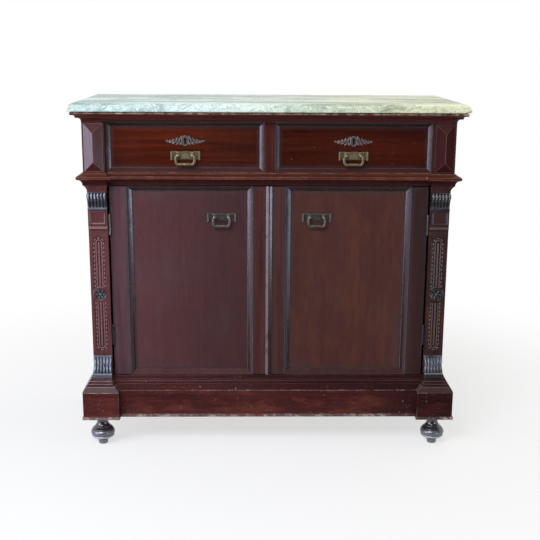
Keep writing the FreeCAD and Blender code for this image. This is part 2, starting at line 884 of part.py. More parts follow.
def frame_moulding(x0, x1, z0, z1, width, depth, edge, y):
    """Four mitred bevels round a panel, from a raised outer edge down to the panel on plane y."""
    shares = [(0, 0), (1, 0), (1, edge / depth), (0, 1)]
    profile = section(shares, width, depth)
    path = [(x0, z0), (x0, z1), (x1, z1), (x1, z0)]
    return [front(strip, y) for strip in mitred_run(profile, path, closed=True)]


def door_frame():
    """Two stiles, two rails behind the panel, and the half astragal on the meeting edge."""
    meeting = box(door_inner_x, door_panel_x0, door_y, door_back_y, door_bottom_z, door_top_z)
    hinged = box(door_panel_x1, door_outer_x, door_y, door_back_y, door_bottom_z, door_top_z)
    rail_y = door_panel_y + door_panel_thickness
    rails = []
    for low in (door_bottom_z, door_top_z - door_rail_height):
        rails.append(box(door_panel_x0, door_panel_x1, rail_y, door_back_y, low, low + door_rail_height))
    shares = [(0, 0), (1, 0), (1, astragal_edge / astragal_height), (0, 1)]
    strip = section(shares, astragal_width, astragal_height)
    strip = strip.extrude(Vector(0, door_bottom_z - door_top_z, 0))
    strip.rotate(Vector(0, 0, 0), Vector(1, 0, 0), 90)
    strip.translate(Vector(door_inner_x, door_y, door_top_z))
    return [meeting, hinged] + rails + [strip]


def door_panel():
    rear = door_panel_y + door_panel_thickness
    return [box(door_panel_x0, door_panel_x1, door_panel_y, rear, door_bottom_z, door_top_z)]


def door_moulding():
    return frame_moulding(
        door_panel_x0, door_panel_x1, door_bottom_z, door_top_z,
        door_moulding_width, door_panel_recess, door_moulding_edge, door_panel_y,
    )


def pull_plate(x, z, y):
    """A cast backplate on plane y, with end flanges and two bored posts for the bail."""
    half = pull_width / 2
    low = z - pull_height / 2
    high = z + pull_height / 2
    shapes = [box(x - half, x + half, y - pull_thickness, y, low, high)]
    flange_y = y - pull_thickness - pull_flange_height
    shapes.append(box(x - half, x - half + pull_flange_width, flange_y, y, low, high))
    shapes.append(box(x + half - pull_flange_width, x + half, flange_y, y, low, high))
    axis_z = z + pull_post_rise
    for side in (-1, 1):
        base = Vector(x + side * pull_post_spacing / 2, y, axis_z)
        shapes.append(Part.makeCylinder(pull_post_radius, pull_thickness + pull_post_length, base, Vector(0, -1, 0)))
    start = Vector(x - half, y - pull_thickness - bail_axis_gap, axis_z)
    bore = Part.makeCylinder(bail_radius + bail_clearance, pull_width, start, Vector(1, 0, 0))
    return joined(shapes).cut(bore).Solids[0]


def bail(x, z, y):
    """A square bail on the plate at plane y: a bent rod whose inturned ends pass through both posts."""
    axis_z = z + pull_post_rise
    axis_y = y - pull_thickness - bail_axis_gap
    end = pull_post_spacing / 2 - pull_post_radius
    half = pull_post_spacing / 2 + pull_post_radius + bail_side_gap + bail_corner
    low = axis_z - bail_drop
    corners = [(-end, axis_z), (-half, axis_z), (-half, low), (half, low), (half, axis_z), (end, axis_z)]
    points = [Vector(x + px, axis_y, pz) for px, pz in corners]
    edges = []
    here = points[0]
    for before, corner, after in zip(points, points[1:], points[2:]):
        way_in = (corner - before).normalize()
        way_out = (after - corner).normalize()
        arc_start = corner - way_in * bail_corner
        arc_end = corner + way_out * bail_corner
        centre = arc_start + way_out * bail_corner
        arc_middle = centre + (corner - centre).normalize() * bail_corner
        edges.append(Part.LineSegment(here, arc_start).toShape())
        edges.append(Part.Arc(arc_start, arc_middle, arc_end).toShape())
        here = arc_end
    edges.append(Part.LineSegment(here, points[-1]).toShape())
    ring = Part.Wire(Part.makeCircle(bail_radius, points[0], (points[1] - points[0]).normalize()))
    return Part.Wire(edges).makePipeShell([ring], True, True).Solids[0]


def keyhole(y0, y1):
    """A round hole with a slot below it, through everything between two planes."""
    z = drawer_top_z - escutcheon_drop
    x = drawer_middle_x
    round_hole = Part.makeCylinder(key_radius, y1 - y0, Vector(x, y0, z), Vector(0, 1, 0))
    half = key_slot_width / 2
    return joined([round_hole, box(x - half, x + half, y0, y1, z - key_slot_length, z)])


def drawer_front():
    rear = drawer_box_y
    board = box(drawer_inner_x, drawer_outer_x, drawer_face_y, rear, drawer_bottom_z, drawer_top_z)
    return [board.cut(keyhole(drawer_face_y - overrun, rear + overrun)).Solids[0]]


def drawer_moulding():
    return frame_moulding(
        drawer_inner_x, drawer_outer_x, drawer_bottom_z, drawer_top_z,
        drawer_moulding_width, drawer_moulding_depth, drawer_moulding_edge, drawer_face_y,
    )


def drawer_box():
    top = box_z + drawer_side_height
    rear = drawer_back_y - drawer_side_thickness
    inner = box(box_inner_x, box_inner_x + drawer_side_thickness, drawer_box_y, drawer_back_y, box_z, top)
    outer = box(box_outer_x - drawer_side_thickness, box_outer_x, drawer_box_y, drawer_back_y, box_z, top)
    back = box(
        box_inner_x + drawer_side_thickness, box_outer_x - drawer_side_thickness, rear, drawer_back_y, box_z, top,
    )
    return [inner, outer, back]


def drawer_bottom():
    low = box_z + drawer_bottom_rise
    return [box(
        box_inner_x + drawer_side_thickness, box_outer_x - drawer_side_thickness,
        drawer_box_y, drawer_back_y - drawer_side_thickness, low, low + drawer_bottom_thickness,
    )]


def escutcheon():
    half = []
    for x, z in escutcheon_shares:
        half.append(Vector(x * escutcheon_width / 2, z * escutcheon_height / 2, 0))
    other = [Vector(-point.x, point.y, 0) for point in reversed(half[1:-1])]
    plate_shape = polygon_face(half + other).extrude(Vector(0, 0, escutcheon_thickness))
    plate_shape = front(plate_shape, drawer_face_y)
    plate_shape.translate(Vector(drawer_middle_x, 0, drawer_top_z - escutcheon_drop))
    return [plate_shape.cut(keyhole(carcass_y, drawer_face_y + overrun)).Solids[0]]


def lock_case():
    x0 = drawer_middle_x - lock_width / 2
    x1 = drawer_middle_x + lock_width / 2
    low = drawer_top_z - lock_height
    wall = lock_wall
    rear = drawer_box_y + lock_depth
    case = box(x0, x1, drawer_box_y, rear, low, drawer_top_z)
    case = case.cut(box(x0 + wall, x1 - wall, drawer_box_y + wall, rear - wall, low + wall, drawer_top_z - wall))
    case = case.cut(bolt_box(bolt_clearance, drawer_top_z - lock_height / 2, drawer_top_z + overrun))
    key_rear = drawer_box_y + wall
    return [case.cut(keyhole(drawer_box_y - overrun, key_rear)).Solids[0]]


def lock_bolt():
    top = drawer_top_z - bolt_clearance
    return [bolt_box(0, top - bolt_height, top)]


save("marble_top", marble_top())
save("top_frame", top_frame())
save("cornice", cornice())
save("waist_moulding", waist_moulding())
right_panels = side_panels()
save("front_posts", front_posts(right_panels))
save("side_frames", side_frames(right_panels))
save("side_panels", right_panels + [mirrored(panel) for panel in right_panels])
save("back_boards", back_boards())
save("cupboard_floor", [notched_board(stop_y, floor_z, floor_top_z)])
save("shelf", shelf())
save("battens", battens())
save("waist_rail", waist_rail())
save("dust_board", [notched_board(front_rail_y, dust_board_z, runner_z)])
save("drawer_divider", drawer_divider())
save("drawer_runners", drawer_runners())
save("drawer_guides", drawer_guides())
save("corner_blocks", corner_blocks())
save("capitals", capitals())
save("pilaster_shafts", pilaster_shafts())
save("rosettes", rosettes())
save("pilaster_bases", pilaster_bases())
right_cap = plinth_cap()
save("plinth_caps", pair(right_cap))
save("base_moulding", base_moulding(right_cap))
save("plinth_blocks", plinth_blocks())
save("plinth_boards", plinth_boards())
save("feet", feet())
save("hinge_frame_leaves", hinge_frame_leaves())
save("hinge_pins", hinge_pins())

# Each moving piece is drawn on the right and mirrored for the left
moving = {
    "door_{}_frame": door_frame(),
    "door_{}_panel": door_panel(),
    "door_{}_moulding": door_moulding(),
    "door_{}_hinge_leaves": door_hinge_leaves(),
    "door_{}_pull_plate": [pull_plate(door_pull_offset, door_pull_z, door_panel_y)],
    "door_{}_bail": [bail(door_pull_offset, door_pull_z, door_panel_y)],
    "drawer_{}_front": drawer_front(),
    "drawer_{}_moulding": drawer_moulding(),
    "drawer_{}_box": drawer_box(),
    "drawer_{}_bottom": drawer_bottom(),
    "drawer_{}_escutcheon": escutcheon(),
    "drawer_{}_lock_case": lock_case(),
    "drawer_{}_lock_bolt": lock_bolt(),
    "drawer_{}_pull_plate": [pull_plate(drawer_middle_x, drawer_pull_z, drawer_face_y)],
    "drawer_{}_bail": [bail(drawer_middle_x, drawer_pull_z, drawer_face_y)],
}
for name, solids in moving.items():
    save(name.format("right"), solids)
    save(name.format("left"), [mirrored(solid) for solid in solids])
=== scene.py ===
import json
import math
import random

import bmesh
import bpy
import numpy as np
from mathutils import Matrix, Vector

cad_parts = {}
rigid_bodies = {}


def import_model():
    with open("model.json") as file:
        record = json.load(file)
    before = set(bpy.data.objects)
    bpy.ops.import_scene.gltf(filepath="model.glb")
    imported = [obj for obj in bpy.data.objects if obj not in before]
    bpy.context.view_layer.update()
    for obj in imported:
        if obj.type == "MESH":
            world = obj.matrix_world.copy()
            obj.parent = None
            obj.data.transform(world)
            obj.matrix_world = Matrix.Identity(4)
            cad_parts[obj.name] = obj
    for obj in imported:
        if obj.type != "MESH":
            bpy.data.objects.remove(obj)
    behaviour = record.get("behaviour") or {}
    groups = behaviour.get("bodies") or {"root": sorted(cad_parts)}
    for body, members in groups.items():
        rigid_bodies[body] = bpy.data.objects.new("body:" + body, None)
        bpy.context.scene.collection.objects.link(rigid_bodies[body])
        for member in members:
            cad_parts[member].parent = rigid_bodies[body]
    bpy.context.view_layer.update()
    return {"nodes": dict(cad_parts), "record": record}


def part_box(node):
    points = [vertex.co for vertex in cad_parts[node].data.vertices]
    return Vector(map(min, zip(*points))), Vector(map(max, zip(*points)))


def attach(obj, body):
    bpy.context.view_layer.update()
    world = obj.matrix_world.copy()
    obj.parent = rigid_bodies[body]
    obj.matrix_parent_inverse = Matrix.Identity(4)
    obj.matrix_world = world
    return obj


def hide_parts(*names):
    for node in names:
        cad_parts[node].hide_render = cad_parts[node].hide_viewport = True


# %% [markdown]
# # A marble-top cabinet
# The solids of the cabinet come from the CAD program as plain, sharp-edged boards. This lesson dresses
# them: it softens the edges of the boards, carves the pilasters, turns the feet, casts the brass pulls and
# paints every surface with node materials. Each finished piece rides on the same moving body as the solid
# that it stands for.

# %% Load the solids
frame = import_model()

MM = 0.001
scene = bpy.context.scene

# %% [markdown]
# ## The camera
# The picture that we follow was taken from a little above the top, almost in the middle. The numbers below
# were found by matching the marble's corners, the mouldings and the feet, so the cabinet fills the frame
# the same way. The last turn is the small tilt of a camera held by hand.

# %% Camera
LOOK_ASIDE, LOOK_DOWN, HAND_TILT = -1.09, 13.44, 0.34
camera = bpy.data.objects.new("camera", bpy.data.cameras.new("camera"))
scene.collection.objects.link(camera)
camera.data.sensor_fit = "HORIZONTAL"
camera.data.sensor_width = 36
camera.data.lens = 63.685
camera.location = Vector((-47.42, -2853.35, 1168.62)) * MM
aside = Matrix.Rotation(math.radians(LOOK_ASIDE), 3, "Z")
down = Matrix.Rotation(math.radians(90 - LOOK_DOWN), 3, "X")
tilt = Matrix.Rotation(math.radians(HAND_TILT), 3, "Z")
camera.rotation_euler = (aside @ down @ tilt).to_euler()
scene.camera = camera
print("camera at", [round(c, 3) for c in camera.location])

# %% [markdown]
# ## A short way to write node trees
# Materials, shader groups and Geometry Nodes are all trees of small boxes. Writing every link by hand hides
# the idea, so this helper adds a node, sets its plain inputs and links the others in one call. A colour is
# given as three numbers, and the helper adds the fourth, which is always 1.

# %% Node helper
class Net:
    """A node tree with short calls for the nodes used most."""

    def __init__(self, tree):
        self.tree = tree

    def feed(self, node, inputs):
        """Link the inputs that are sockets, and set the others as plain values."""
        for key, value in inputs.items():
            socket = node.inputs[key]
            if isinstance(value, bpy.types.NodeSocket):
                self.tree.links.new(value, socket)
            else:
                socket.default_value = (*value, 1) if socket.type == "RGBA" else value

    def add(self, kind, inputs=None, **settings):
        made = self.tree.nodes.new(kind)
        for key, value in settings.items():
            setattr(made, key, value)
        self.feed(made, inputs or {})
        return made

    def out(self, kind, inputs=None, **settings):
        """The first output of a new node."""
        return self.add(kind, inputs, **settings).outputs[0]

    def group(self, name, inputs):
        return self.add("ShaderNodeGroup", inputs, node_tree=bpy.data.node_groups[name]).outputs

    def spot(self):
        return self.add("ShaderNodeTexCoord").outputs["Object"]

    def attribute(self, name, kind="Fac"):
        return self.add("ShaderNodeAttribute", attribute_name=name).outputs[kind]

    def axis(self, vector, index):
        return self.add("ShaderNodeSeparateXYZ", {0: vector}).outputs[index]

    def stretch(self, vector, scale):
        return self.out("ShaderNodeVectorMath", {0: vector, 1: scale}, operation="MULTIPLY")

    def moved(self, vector, by):
        return self.out("ShaderNodeVectorMath", {0: vector, 1: by}, operation="ADD")

    def math(self, operation, a, b=0.0, clamp=False):
        return self.out("ShaderNodeMath", {0: a, 1: b}, operation=operation, use_clamp=clamp)

    def plus(self, a, b, clamp=False):
        return self.math("ADD", a, b, clamp)

    def minus(self, a, b, clamp=False):
        return self.math("SUBTRACT", a, b, clamp)

    def times(self, a, b):
        return self.math("MULTIPLY", a, b)

    def mix(self, factor, a, b, blend="MIX"):
        made = self.add("ShaderNodeMix", {0: factor, 6: a, 7: b}, data_type="RGBA", blend_type=blend)
        return made.outputs[2]

    def noise(self, vector, scale, detail=3.0, roughness=0.5, distortion=0.0):
        return self.out("ShaderNodeTexNoise", {
            "Vector": vector, "Scale": scale, "Detail": detail, "Roughness": roughness,
            "Distortion": distortion,
        })

    def step(self, value, low, high, to_low=0.0, to_high=1.0):
        """Smooth step of a value between two edges."""
        return self.out("ShaderNodeMapRange", {
            "Value": value, "From Min": low, "From Max": high, "To Min": to_low, "To Max": to_high,
        }, interpolation_type="SMOOTHSTEP")

    def bump(self, height, strength, distance, invert=False):
        return self.out("ShaderNodeBump", {"Strength": strength, "Distance": distance, "Height": height},
                        invert=invert)


print("short calls:", [call for call in vars(Net) if not call.startswith("_")])

# %% [markdown]
# Effects that several materials share, and rules that lay out repeated shapes, are node groups. Every group
# starts with the same few lines: its named sockets, the node that gives its inputs and the node that takes
# its results.

# %% Node groups
def node_group(name, kind, inputs, outputs):
    """An empty group with named sockets: its net, the sockets of its inputs and the node for its results."""
    tree = bpy.data.node_groups.new(name, kind + "NodeTree")
    for way, sockets in (("INPUT", inputs), ("OUTPUT", outputs)):
        for label, form in sockets.items():
            tree.interface.new_socket(label, in_out=way, socket_type="NodeSocket" + form)
    return Net(tree), tree.nodes.new("NodeGroupInput").outputs, tree.nodes.new("NodeGroupOutput")


def new_material(name):
    material = bpy.data.materials.new(name)
    material.use_nodes = True
    return material, Net(material.node_tree), material.node_tree.nodes["Principled BSDF"]


print("node groups before the lesson:", len(bpy.data.node_groups))

# %% [markdown]
# ## The studio
# A dark, polished object shows its surroundings more than its own colour, so the room is built first. White
# paper lies on the floor and keeps the cabinet's shadow. It glows only for rays that look at it, so that it
# is white in the picture and lights nothing.

# %% Floor
FLOOR_RADIUS = 200


def plane(name, corners, material):
    mesh = bpy.data.meshes.new(name)
    mesh.from_pydata([Vector(c) for c in corners], [], [range(len(corners))])
    mesh.materials.append(material)
    item = bpy.data.objects.new(name, mesh)
    scene.collection.objects.link(item)
    return item


def seen_directly(net):
    """1 for rays that look straight at the surface, in a mirror or through glass."""
    path = net.add("ShaderNodeLightPath").outputs
    mirrored = net.math("MAXIMUM", path["Is Glossy Ray"], path["Is Transmission Ray"])
    return net.math("MAXIMUM", path["Is Camera Ray"], mirrored)


paper, net, shader = new_material("white_paper")
net.feed(shader, {"Base Color": (0.9, 0.9, 0.9), "Roughness": 0.8, "Specular IOR Level": 0.1})
away = net.add("ShaderNodeVectorMath", {0: net.spot()}, operation="LENGTH").outputs["Value"]
share = net.times(seen_directly(net), net.step(away, 0.5, 1.8, 0.65, 1.0))
glow = net.out("ShaderNodeEmission")
blend = net.out("ShaderNodeMixShader", {0: share, 1: shader.outputs[0], 2: glow})
net.feed(net.tree.nodes["Material Output"], {"Surface": blend})
turns = np.linspace(0, math.tau, 96, False)
plane("studio_floor", [(FLOOR_RADIUS * math.cos(a), FLOOR_RADIUS * math.sin(a), 0) for a in turns], paper)
print("floor sides:", len(turns))

# %% [markdown]
# A dark curtain behind the camera, dark walls beside it and a dark cloth on the floor keep the varnish
# deep, as a photographer's black flags do. Only the polish sees them: they throw no shadow and take no
# light away. The world is white where it is looked at and weaker where it lights.

# %% Flags and world
cloth, net, shader = new_material("dark_cloth")
net.feed(shader, {"Base Color": (0.05, 0.045, 0.05), "Roughness": 1, "Specular IOR Level": 0})
FLAGS = {
    "dark_curtain": [(-3.2, -6, 0.02), (3.2, -6, 0.02), (3.2, -6, 7), (-3.2, -6, 7)],
    "dark_left_wall": [(-3.2, -6, 0.02), (-3.0, -1.9, 0.02), (-3.0, -1.9, 3), (-3.2, -6, 3)],
    "dark_right_wall": [(3.2, -6, 0.02), (3.0, -0.5, 0.25), (3.0, -0.5, 3), (3.2, -6, 3)],
    "dark_cloth": [(-3.0, -6, 0.01), (3.0, -6, 0.01), (1.1, -0.4, 0.01), (-1.1, -0.4, 0.01)],
}
for name, corners in FLAGS.items():
    flag = plane(name, corners, cloth)
    flag.visible_camera = False
    flag.visible_diffuse = False
    flag.visible_shadow = False

scene.world = bpy.data.worlds.new("studio")
scene.world.use_nodes = True
net = Net(scene.world.node_tree)
strength = net.step(seen_directly(net), 0, 1, 0.3, 1.0)
net.feed(net.tree.nodes["Background"], {"Color": (1, 1, 1), "Strength": strength})
scene.view_settings.view_transform = "Standard"
print("flags:", len(FLAGS))

# %% [markdown]
# The light is a tall bluish window on the left, a large soft lamp above the camera and a warm one overhead.
# Four panels beside the cabinet give no light of their own to the wood: only its polish shows them, as pale
# blue streaks on the bevels. A lamp's brightness is given for each bit of its face, so that a larger lamp
# isn't a dimmer one.

# %% Lamps
def softbox(name, place, aim, width, height, brightness, colour, only_mirrored):
    """A rectangular lamp of a given brightness, turned to its aim; some only show in polish."""
    lamp = bpy.data.lights.new(name, "AREA")
    lamp.shape = "RECTANGLE"
    lamp.size, lamp.size_y = width, height
    lamp.energy = brightness * math.pi * width * height
    lamp.color = colour
    item = bpy.data.objects.new(name, lamp)
    scene.collection.objects.link(item)
    item.location = place
    item.rotation_euler = (Vector(aim) - Vector(place)).to_track_quat("-Z", "Y").to_euler()
    item.visible_camera = False
    item.visible_diffuse = not only_mirrored
    print(name, round(lamp.energy), "W")


for lamp in (
    ("left_window", (-2.6, -1.26, 0.95), (0, -0.3, 0.6), 0.66, 1.9, 8.6, (0.64, 0.69, 1.0), False),
    ("front_lamp", (-1.5, -3.2, 3.2), (0, 0, 0.55), 2.6, 1.8, 10.0, (0.93, 0.96, 1.0), False),
    ("top_lamp", (1.2, 0.2, 3.3), (0.3, 0, 0.8), 2.0, 1.6, 2.2, (1.0, 0.95, 0.82), False),
    ("left_panel", (-2.6, -1.92, 0.95), (0, -0.3, 0.6), 0.66, 1.9, 4.8, (0.78, 0.66, 0.90), True),
    ("far_left_panel", (-2.6, -2.9, 0.95), (0.2, -0.2, 0.6), 0.6, 1.9, 7.0, (0.74, 0.70, 1.0), True),
    ("right_panel", (2.12, -1.855, 0.40), (0, -0.19, 0.4), 1.04, 0.66, 3.6, (0.66, 0.72, 1.0), True),
    ("low_panel", (2.05, -2.02, 0.28), (0, -0.19, 0.4), 0.75, 0.42, 8.0, (0.58, 0.72, 1.0), True),
):
    softbox(*lamp)

# %% [markdown]
# ## Wood grain
# Every wooden piece shows grain, so it is one shader group. Grain is noise stretched along the board: a
# broad figure, narrower streaks, fine lines and short dark pores. The attribute "board" gives each board
# its own number, which moves the pattern and makes the board lighter or darker than its neighbours:
# partly at random, and partly as painted light, lighter towards the window on the left.

# %% Grain group
PORE_BROWN = (0.008, 0.004, 0.003)
net, given, result = node_group(
    "board_grain", "Shader", {"Vector": "Vector", "Light": "Color", "Dark": "Color", "Figure": "Float"},
    {"Color": "Color", "Pores": "Float"})
board = net.attribute("board")
shift = net.out("ShaderNodeCombineXYZ", {0: net.times(board, 3.1), 2: net.times(board, 7.7)})
place = net.moved(given["Vector"], shift)
broad = net.noise(net.stretch(place, (9, 9, 0.9)), 1.0, 3.0, 0.55, 1.2)
streak = net.noise(net.stretch(place, (95, 95, 3.0)), 1.0, 4.0, 0.6, 0.4)
fine = net.noise(net.stretch(place, (420, 420, 9.0)), 1.0, 2.0, 0.5)
figure = net.step(net.plus(net.times(broad, 0.5), net.times(streak, 0.5)), 0.32, 0.68)
even = net.times(net.minus(1.0, given["Figure"]), 0.5)
figure = net.plus(net.times(figure, given["Figure"]), even)
# Painted light: the board number, which falls from left to right, makes the figure lighter or darker.
figure = net.plus(figure, net.times(net.minus(board, 0.5), 0.5), True)
pores = net.step(net.noise(net.stretch(place, (900, 900, 26)), 1.0, 1.0, 0.5), 0.60, 0.70)
colour = net.mix(figure, given["Dark"], given["Light"])
colour = net.mix(net.times(net.step(fine, 0.35, 0.7), 0.25), colour, given["Dark"])
net.feed(result, {"Color": net.mix(net.times(pores, 0.45), colour, PORE_BROWN), "Pores": pores})
print("grain nodes:", len(net.tree.nodes))

# %% [markdown]
# ## Worn edges and painted highlights
# Hands, cloths and brooms wear a piece along its edges. The wear attribute is 1 on the softened edges of
# the mesh, and noise breaks it up so that it looks rubbed and not drawn. Where the noise is highest, the
# varnish has chipped off. On carved and turned parts, the cornice bead, a hinge and the pulls, the same
# mark also paints highlights, so its pale colour there is partly light.

# %% Wear and highlight group
net, given, result = node_group(
    "edge_wear", "Shader", {"Vector": "Vector", "Amount": "Float", "Scale": "Float"},
    {"Rubbed": "Float", "Chipped": "Float"})
edge = net.attribute("wear")
patch = net.noise(given["Vector"], given["Scale"], 4.0, 0.65)
small = net.noise(given["Vector"], net.times(given["Scale"], 6.0), 2.0, 0.6)
level = net.minus(net.plus(patch, net.times(small, 0.35)), net.minus(1.05, given["Amount"]))
net.feed(result, {
    "Rubbed": net.times(edge, net.step(level, -0.10, 0.28)),
    "Chipped": net.times(edge, net.step(level, 0.20, 0.30)),
})
print("wear nodes:", len(net.tree.nodes))

# %% [markdown]
# ## Old varnish
# A century of polish leaves varnish cloudy: its gloss changes in soft patches and in the direction of
# wiping, and its surface is never quite flat. The group gives the roughness, a ripple for the bump and a
# bloom, the milky haze of old varnish, which on the door panels also stands for a painted greyish sheen.

# %% Varnish group
net, given, result = node_group(
    "old_varnish", "Shader", {"Vector": "Vector", "Gloss": "Float", "Cloud": "Float"},
    {"Roughness": "Float", "Ripple": "Float", "Bloom": "Float"})
cloud = net.noise(given["Vector"], 5.0, 4.0, 0.6, 0.6)
wipe = net.noise(net.stretch(given["Vector"], (60, 60, 4)), 1.0, 3.0, 0.6)
fog = net.plus(net.times(cloud, 0.65), net.times(wipe, 0.35))
spread = net.times(net.minus(fog, 0.5), given["Cloud"])
net.feed(result, {
    "Roughness": net.plus(given["Gloss"], spread, True),
    "Ripple": net.noise(net.stretch(given["Vector"], (28, 28, 9)), 1.0, 2.0, 0.5),
    "Bloom": net.step(fog, 0.48, 0.75),
})
print("varnish nodes:", len(net.tree.nodes))

# %% [markdown]
# ## Mottling, border darkening, painted side light and nicks
# More effects mark a piece that has stood for a century in one place, and one paints light on it. Mottling
# is where the varnish has broken into patches and flecks. Border darkening makes a front darker along the
# border of a board, found by the distances to the borders that are stored on the mesh. Painted side light
# tints a front from a darker, shaded end to a lighter end that stands towards the window. Nicks are the
# small pale marks of keys, brooms and shoes.

# %% Mottling, border darkening, painted side light and nicks groups
net, given, result = node_group(
    "mottling", "Shader", {"Vector": "Vector", "Along": "Vector"}, {"Mask": "Float"})
patches = net.noise(net.stretch(given["Along"], (30, 30, 9)), 1.0, 5.0, 0.7, 0.4)
flecks = net.noise(given["Vector"], 190.0, 3.0, 0.65)
whole = net.times(net.step(patches, 0.46, 0.66, 1.0, 0.4), net.step(flecks, 0.48, 0.68, 1.0, 0.6))
net.feed(result, {"Mask": net.minus(1.0, whole)})

net, given, result = node_group(
    "edge_grime", "Shader", {"Vector": "Vector", "Amount": "Float"}, {"Dirt": "Float"})
near = 1.0
for label in ("from_low", "from_high"):
    x, _, z = net.add("ShaderNodeSeparateXYZ", {0: net.attribute(label, "Vector")}).outputs
    near = net.math("MINIMUM", near, net.math("MINIMUM", x, z))
ragged = net.times(net.minus(net.noise(given["Vector"], 45.0, 3.0, 0.6), 0.5), 0.008)
net.feed(result, {"Dirt": net.times(net.step(net.plus(near, ragged), 0.012, -0.002), given["Amount"])})

# Painted light: a tint that goes from shaded to lit across X, as if the window lit the front unevenly.
net, given, result = node_group(
    "bleaching", "Shader",
    {"Vector": "Vector", "Shaded X": "Float", "Bleached X": "Float", "Shaded": "Color", "Bleached": "Color"},
    {"Tint": "Color"})
light = net.step(net.axis(given["Vector"], 0), given["Shaded X"], given["Bleached X"])
net.feed(result, {"Tint": net.mix(light, given["Shaded"], given["Bleached"])})

net, given, result = node_group(
    "nicks", "Shader", {"Vector": "Vector", "Amount": "Float"}, {"Mask": "Float"})
rare = net.step(net.noise(given["Vector"], 150.0, 2.0, 0.5), 0.71, 0.75)
net.feed(result, {"Mask": net.times(rare, given["Amount"])})
print("shader groups:", [g.name for g in bpy.data.node_groups])

# %% [markdown]
# ## Varnished wood
# One finish needs the grain along X, Y or Z, because rails lie down and posts stand up. The material turns
# the Object coordinates so that the grain always runs along the turned Z, then mixes grain, wear and
# varnish. Three copies of a finish differ only in that turn, and a board takes the copy that suits its
# longest side. Some fronts have more to them: a haze in the varnish that is partly a painted sheen, a
# mottle, painted side light that is lighter towards the window, a darkening along their borders, and a
# fine crazing that breaks up what they mirror.

# %% Varnished wood
GRAIN_TURNS = {"x": (0, math.radians(90), 0), "y": (math.radians(90), 0, 0), "z": (0, 0, 0)}
WEAR_SCALE = 38.0
HOLLOW_DIRT, BORDER_DIRT = (0.008, 0.005, 0.006), (0.010, 0.006, 0.007)
NICK_PALE, CHIP_PALE = (0.34, 0.25, 0.20), (0.50, 0.43, 0.37)


def varnished_wood(name, axis, light, dark, gloss, wear, worn, chips=0.0, figure=0.8, cloud=0.25,
                   specular=0.4, haze=None, mottle=None, sun=None, grime=0.0, craze=0.0, nicks=0.0):
    """Grain, then what age has done to it, then the varnish, for boards that run along one axis."""
    material, net, shader = new_material(f"{name}_{axis}")
    spot = net.spot()
    along = net.out("ShaderNodeMapping", {"Vector": spot, "Rotation": GRAIN_TURNS[axis]})
    grain = net.group("board_grain", {"Vector": along, "Light": light, "Dark": dark, "Figure": figure})
    rub = net.group("edge_wear", {"Vector": spot, "Amount": wear, "Scale": WEAR_SCALE})
    coat = net.group("old_varnish", {"Vector": along, "Gloss": gloss, "Cloud": cloud})
    chipped = net.times(rub["Chipped"], chips)
    colour = grain["Color"]
    rough = net.plus(coat["Roughness"], net.times(rub["Rubbed"], 0.15), True)
    # A milky haze; on the door panels it also paints a greyish sheen.
    if haze:
        colour = net.mix(net.times(coat["Bloom"], 0.7), colour, haze)
    if mottle:
        colour = net.mix(net.group("mottling", {"Vector": spot, "Along": along})["Mask"], colour, mottle)
    # Darker where "hollow" is marked: partly dark wax in recesses, partly painted shade between reeds, under
    # the scrolls, below the sills and on the right-hand capital block.
    colour = net.mix(net.times(net.attribute("hollow"), 0.85), colour, HOLLOW_DIRT)
    # Darker along the borders of the front, and rougher there.
    if grime:
        dirt = net.group("edge_grime", {"Vector": spot, "Amount": grime})["Dirt"]
        colour = net.mix(dirt, colour, BORDER_DIRT)
        rough = net.plus(rough, net.times(dirt, 0.7), True)
    colour = net.mix(rub["Rubbed"], colour, worn)
    # Painted light: the colour is multiplied by a tint that goes from shaded to lit across the front.
    if sun:
        tint = net.group("bleaching", {
            "Vector": spot, **dict(zip(("Shaded X", "Bleached X", "Shaded", "Bleached"), sun))})["Tint"]
        colour = net.mix(1.0, colour, tint, "MULTIPLY")
    if nicks:
        colour = net.mix(net.group("nicks", {"Vector": spot, "Amount": nicks})["Mask"], colour, NICK_PALE)
    height = net.minus(net.times(coat["Ripple"], 0.5), net.times(grain["Pores"], 0.25))
    height = net.minus(height, net.times(chipped, 0.8))
    if craze:
        height = net.plus(height, net.times(net.noise(spot, 240.0, 3.0, 0.6), craze))
    net.feed(shader, {
        "Base Color": net.mix(chipped, colour, CHIP_PALE), "Roughness": rough, "Specular IOR Level": specular,
        "Normal": net.bump(height, 0.25, 0.0006),
    })
    return material


def wood_finish(name, **values):
    return {axis: varnished_wood(name, axis, **values) for axis in GRAIN_TURNS}


def wood_count():
    return len([m for m in bpy.data.materials if "wood" in m.name])


def right_shade(*tint):
    """Painted shade for the whole width: full light up to 0.2 m right of the middle, a darker tint at 0.5 m.
    """
    return 0.50, 0.20, tint, (1, 1, 1)


print("grain runs along", list(GRAIN_TURNS))

# %% [markdown]
# ## The woods of the case
# The case is red mahogany veneer, but it hasn't aged evenly. The cornice has lost its varnish to trays, and
# its bead is also painted pale as a highlight. The waist moulding's lower half is painted darker, as the
# shade of its upper half, and the right-hand corner block has gone dull and is painted darker, as shade.
# Each of these is a finish of its own, made from the same recipe with other values.

# %% Case woods
case_wood = wood_finish("case_wood", light=(0.088, 0.016, 0.012), dark=(0.030, 0.0055, 0.0045), gloss=0.30,
                        wear=0.55, worn=(0.13, 0.040, 0.024), sun=right_shade(0.62, 0.55, 0.55))
block_wood = wood_finish("block_wood", light=(0.078, 0.016, 0.013), dark=(0.030, 0.0060, 0.0050), gloss=0.24,
                         wear=0.75, worn=(0.17, 0.110, 0.105), specular=0.34, craze=0.8,
                         sun=right_shade(0.62, 0.55, 0.55))
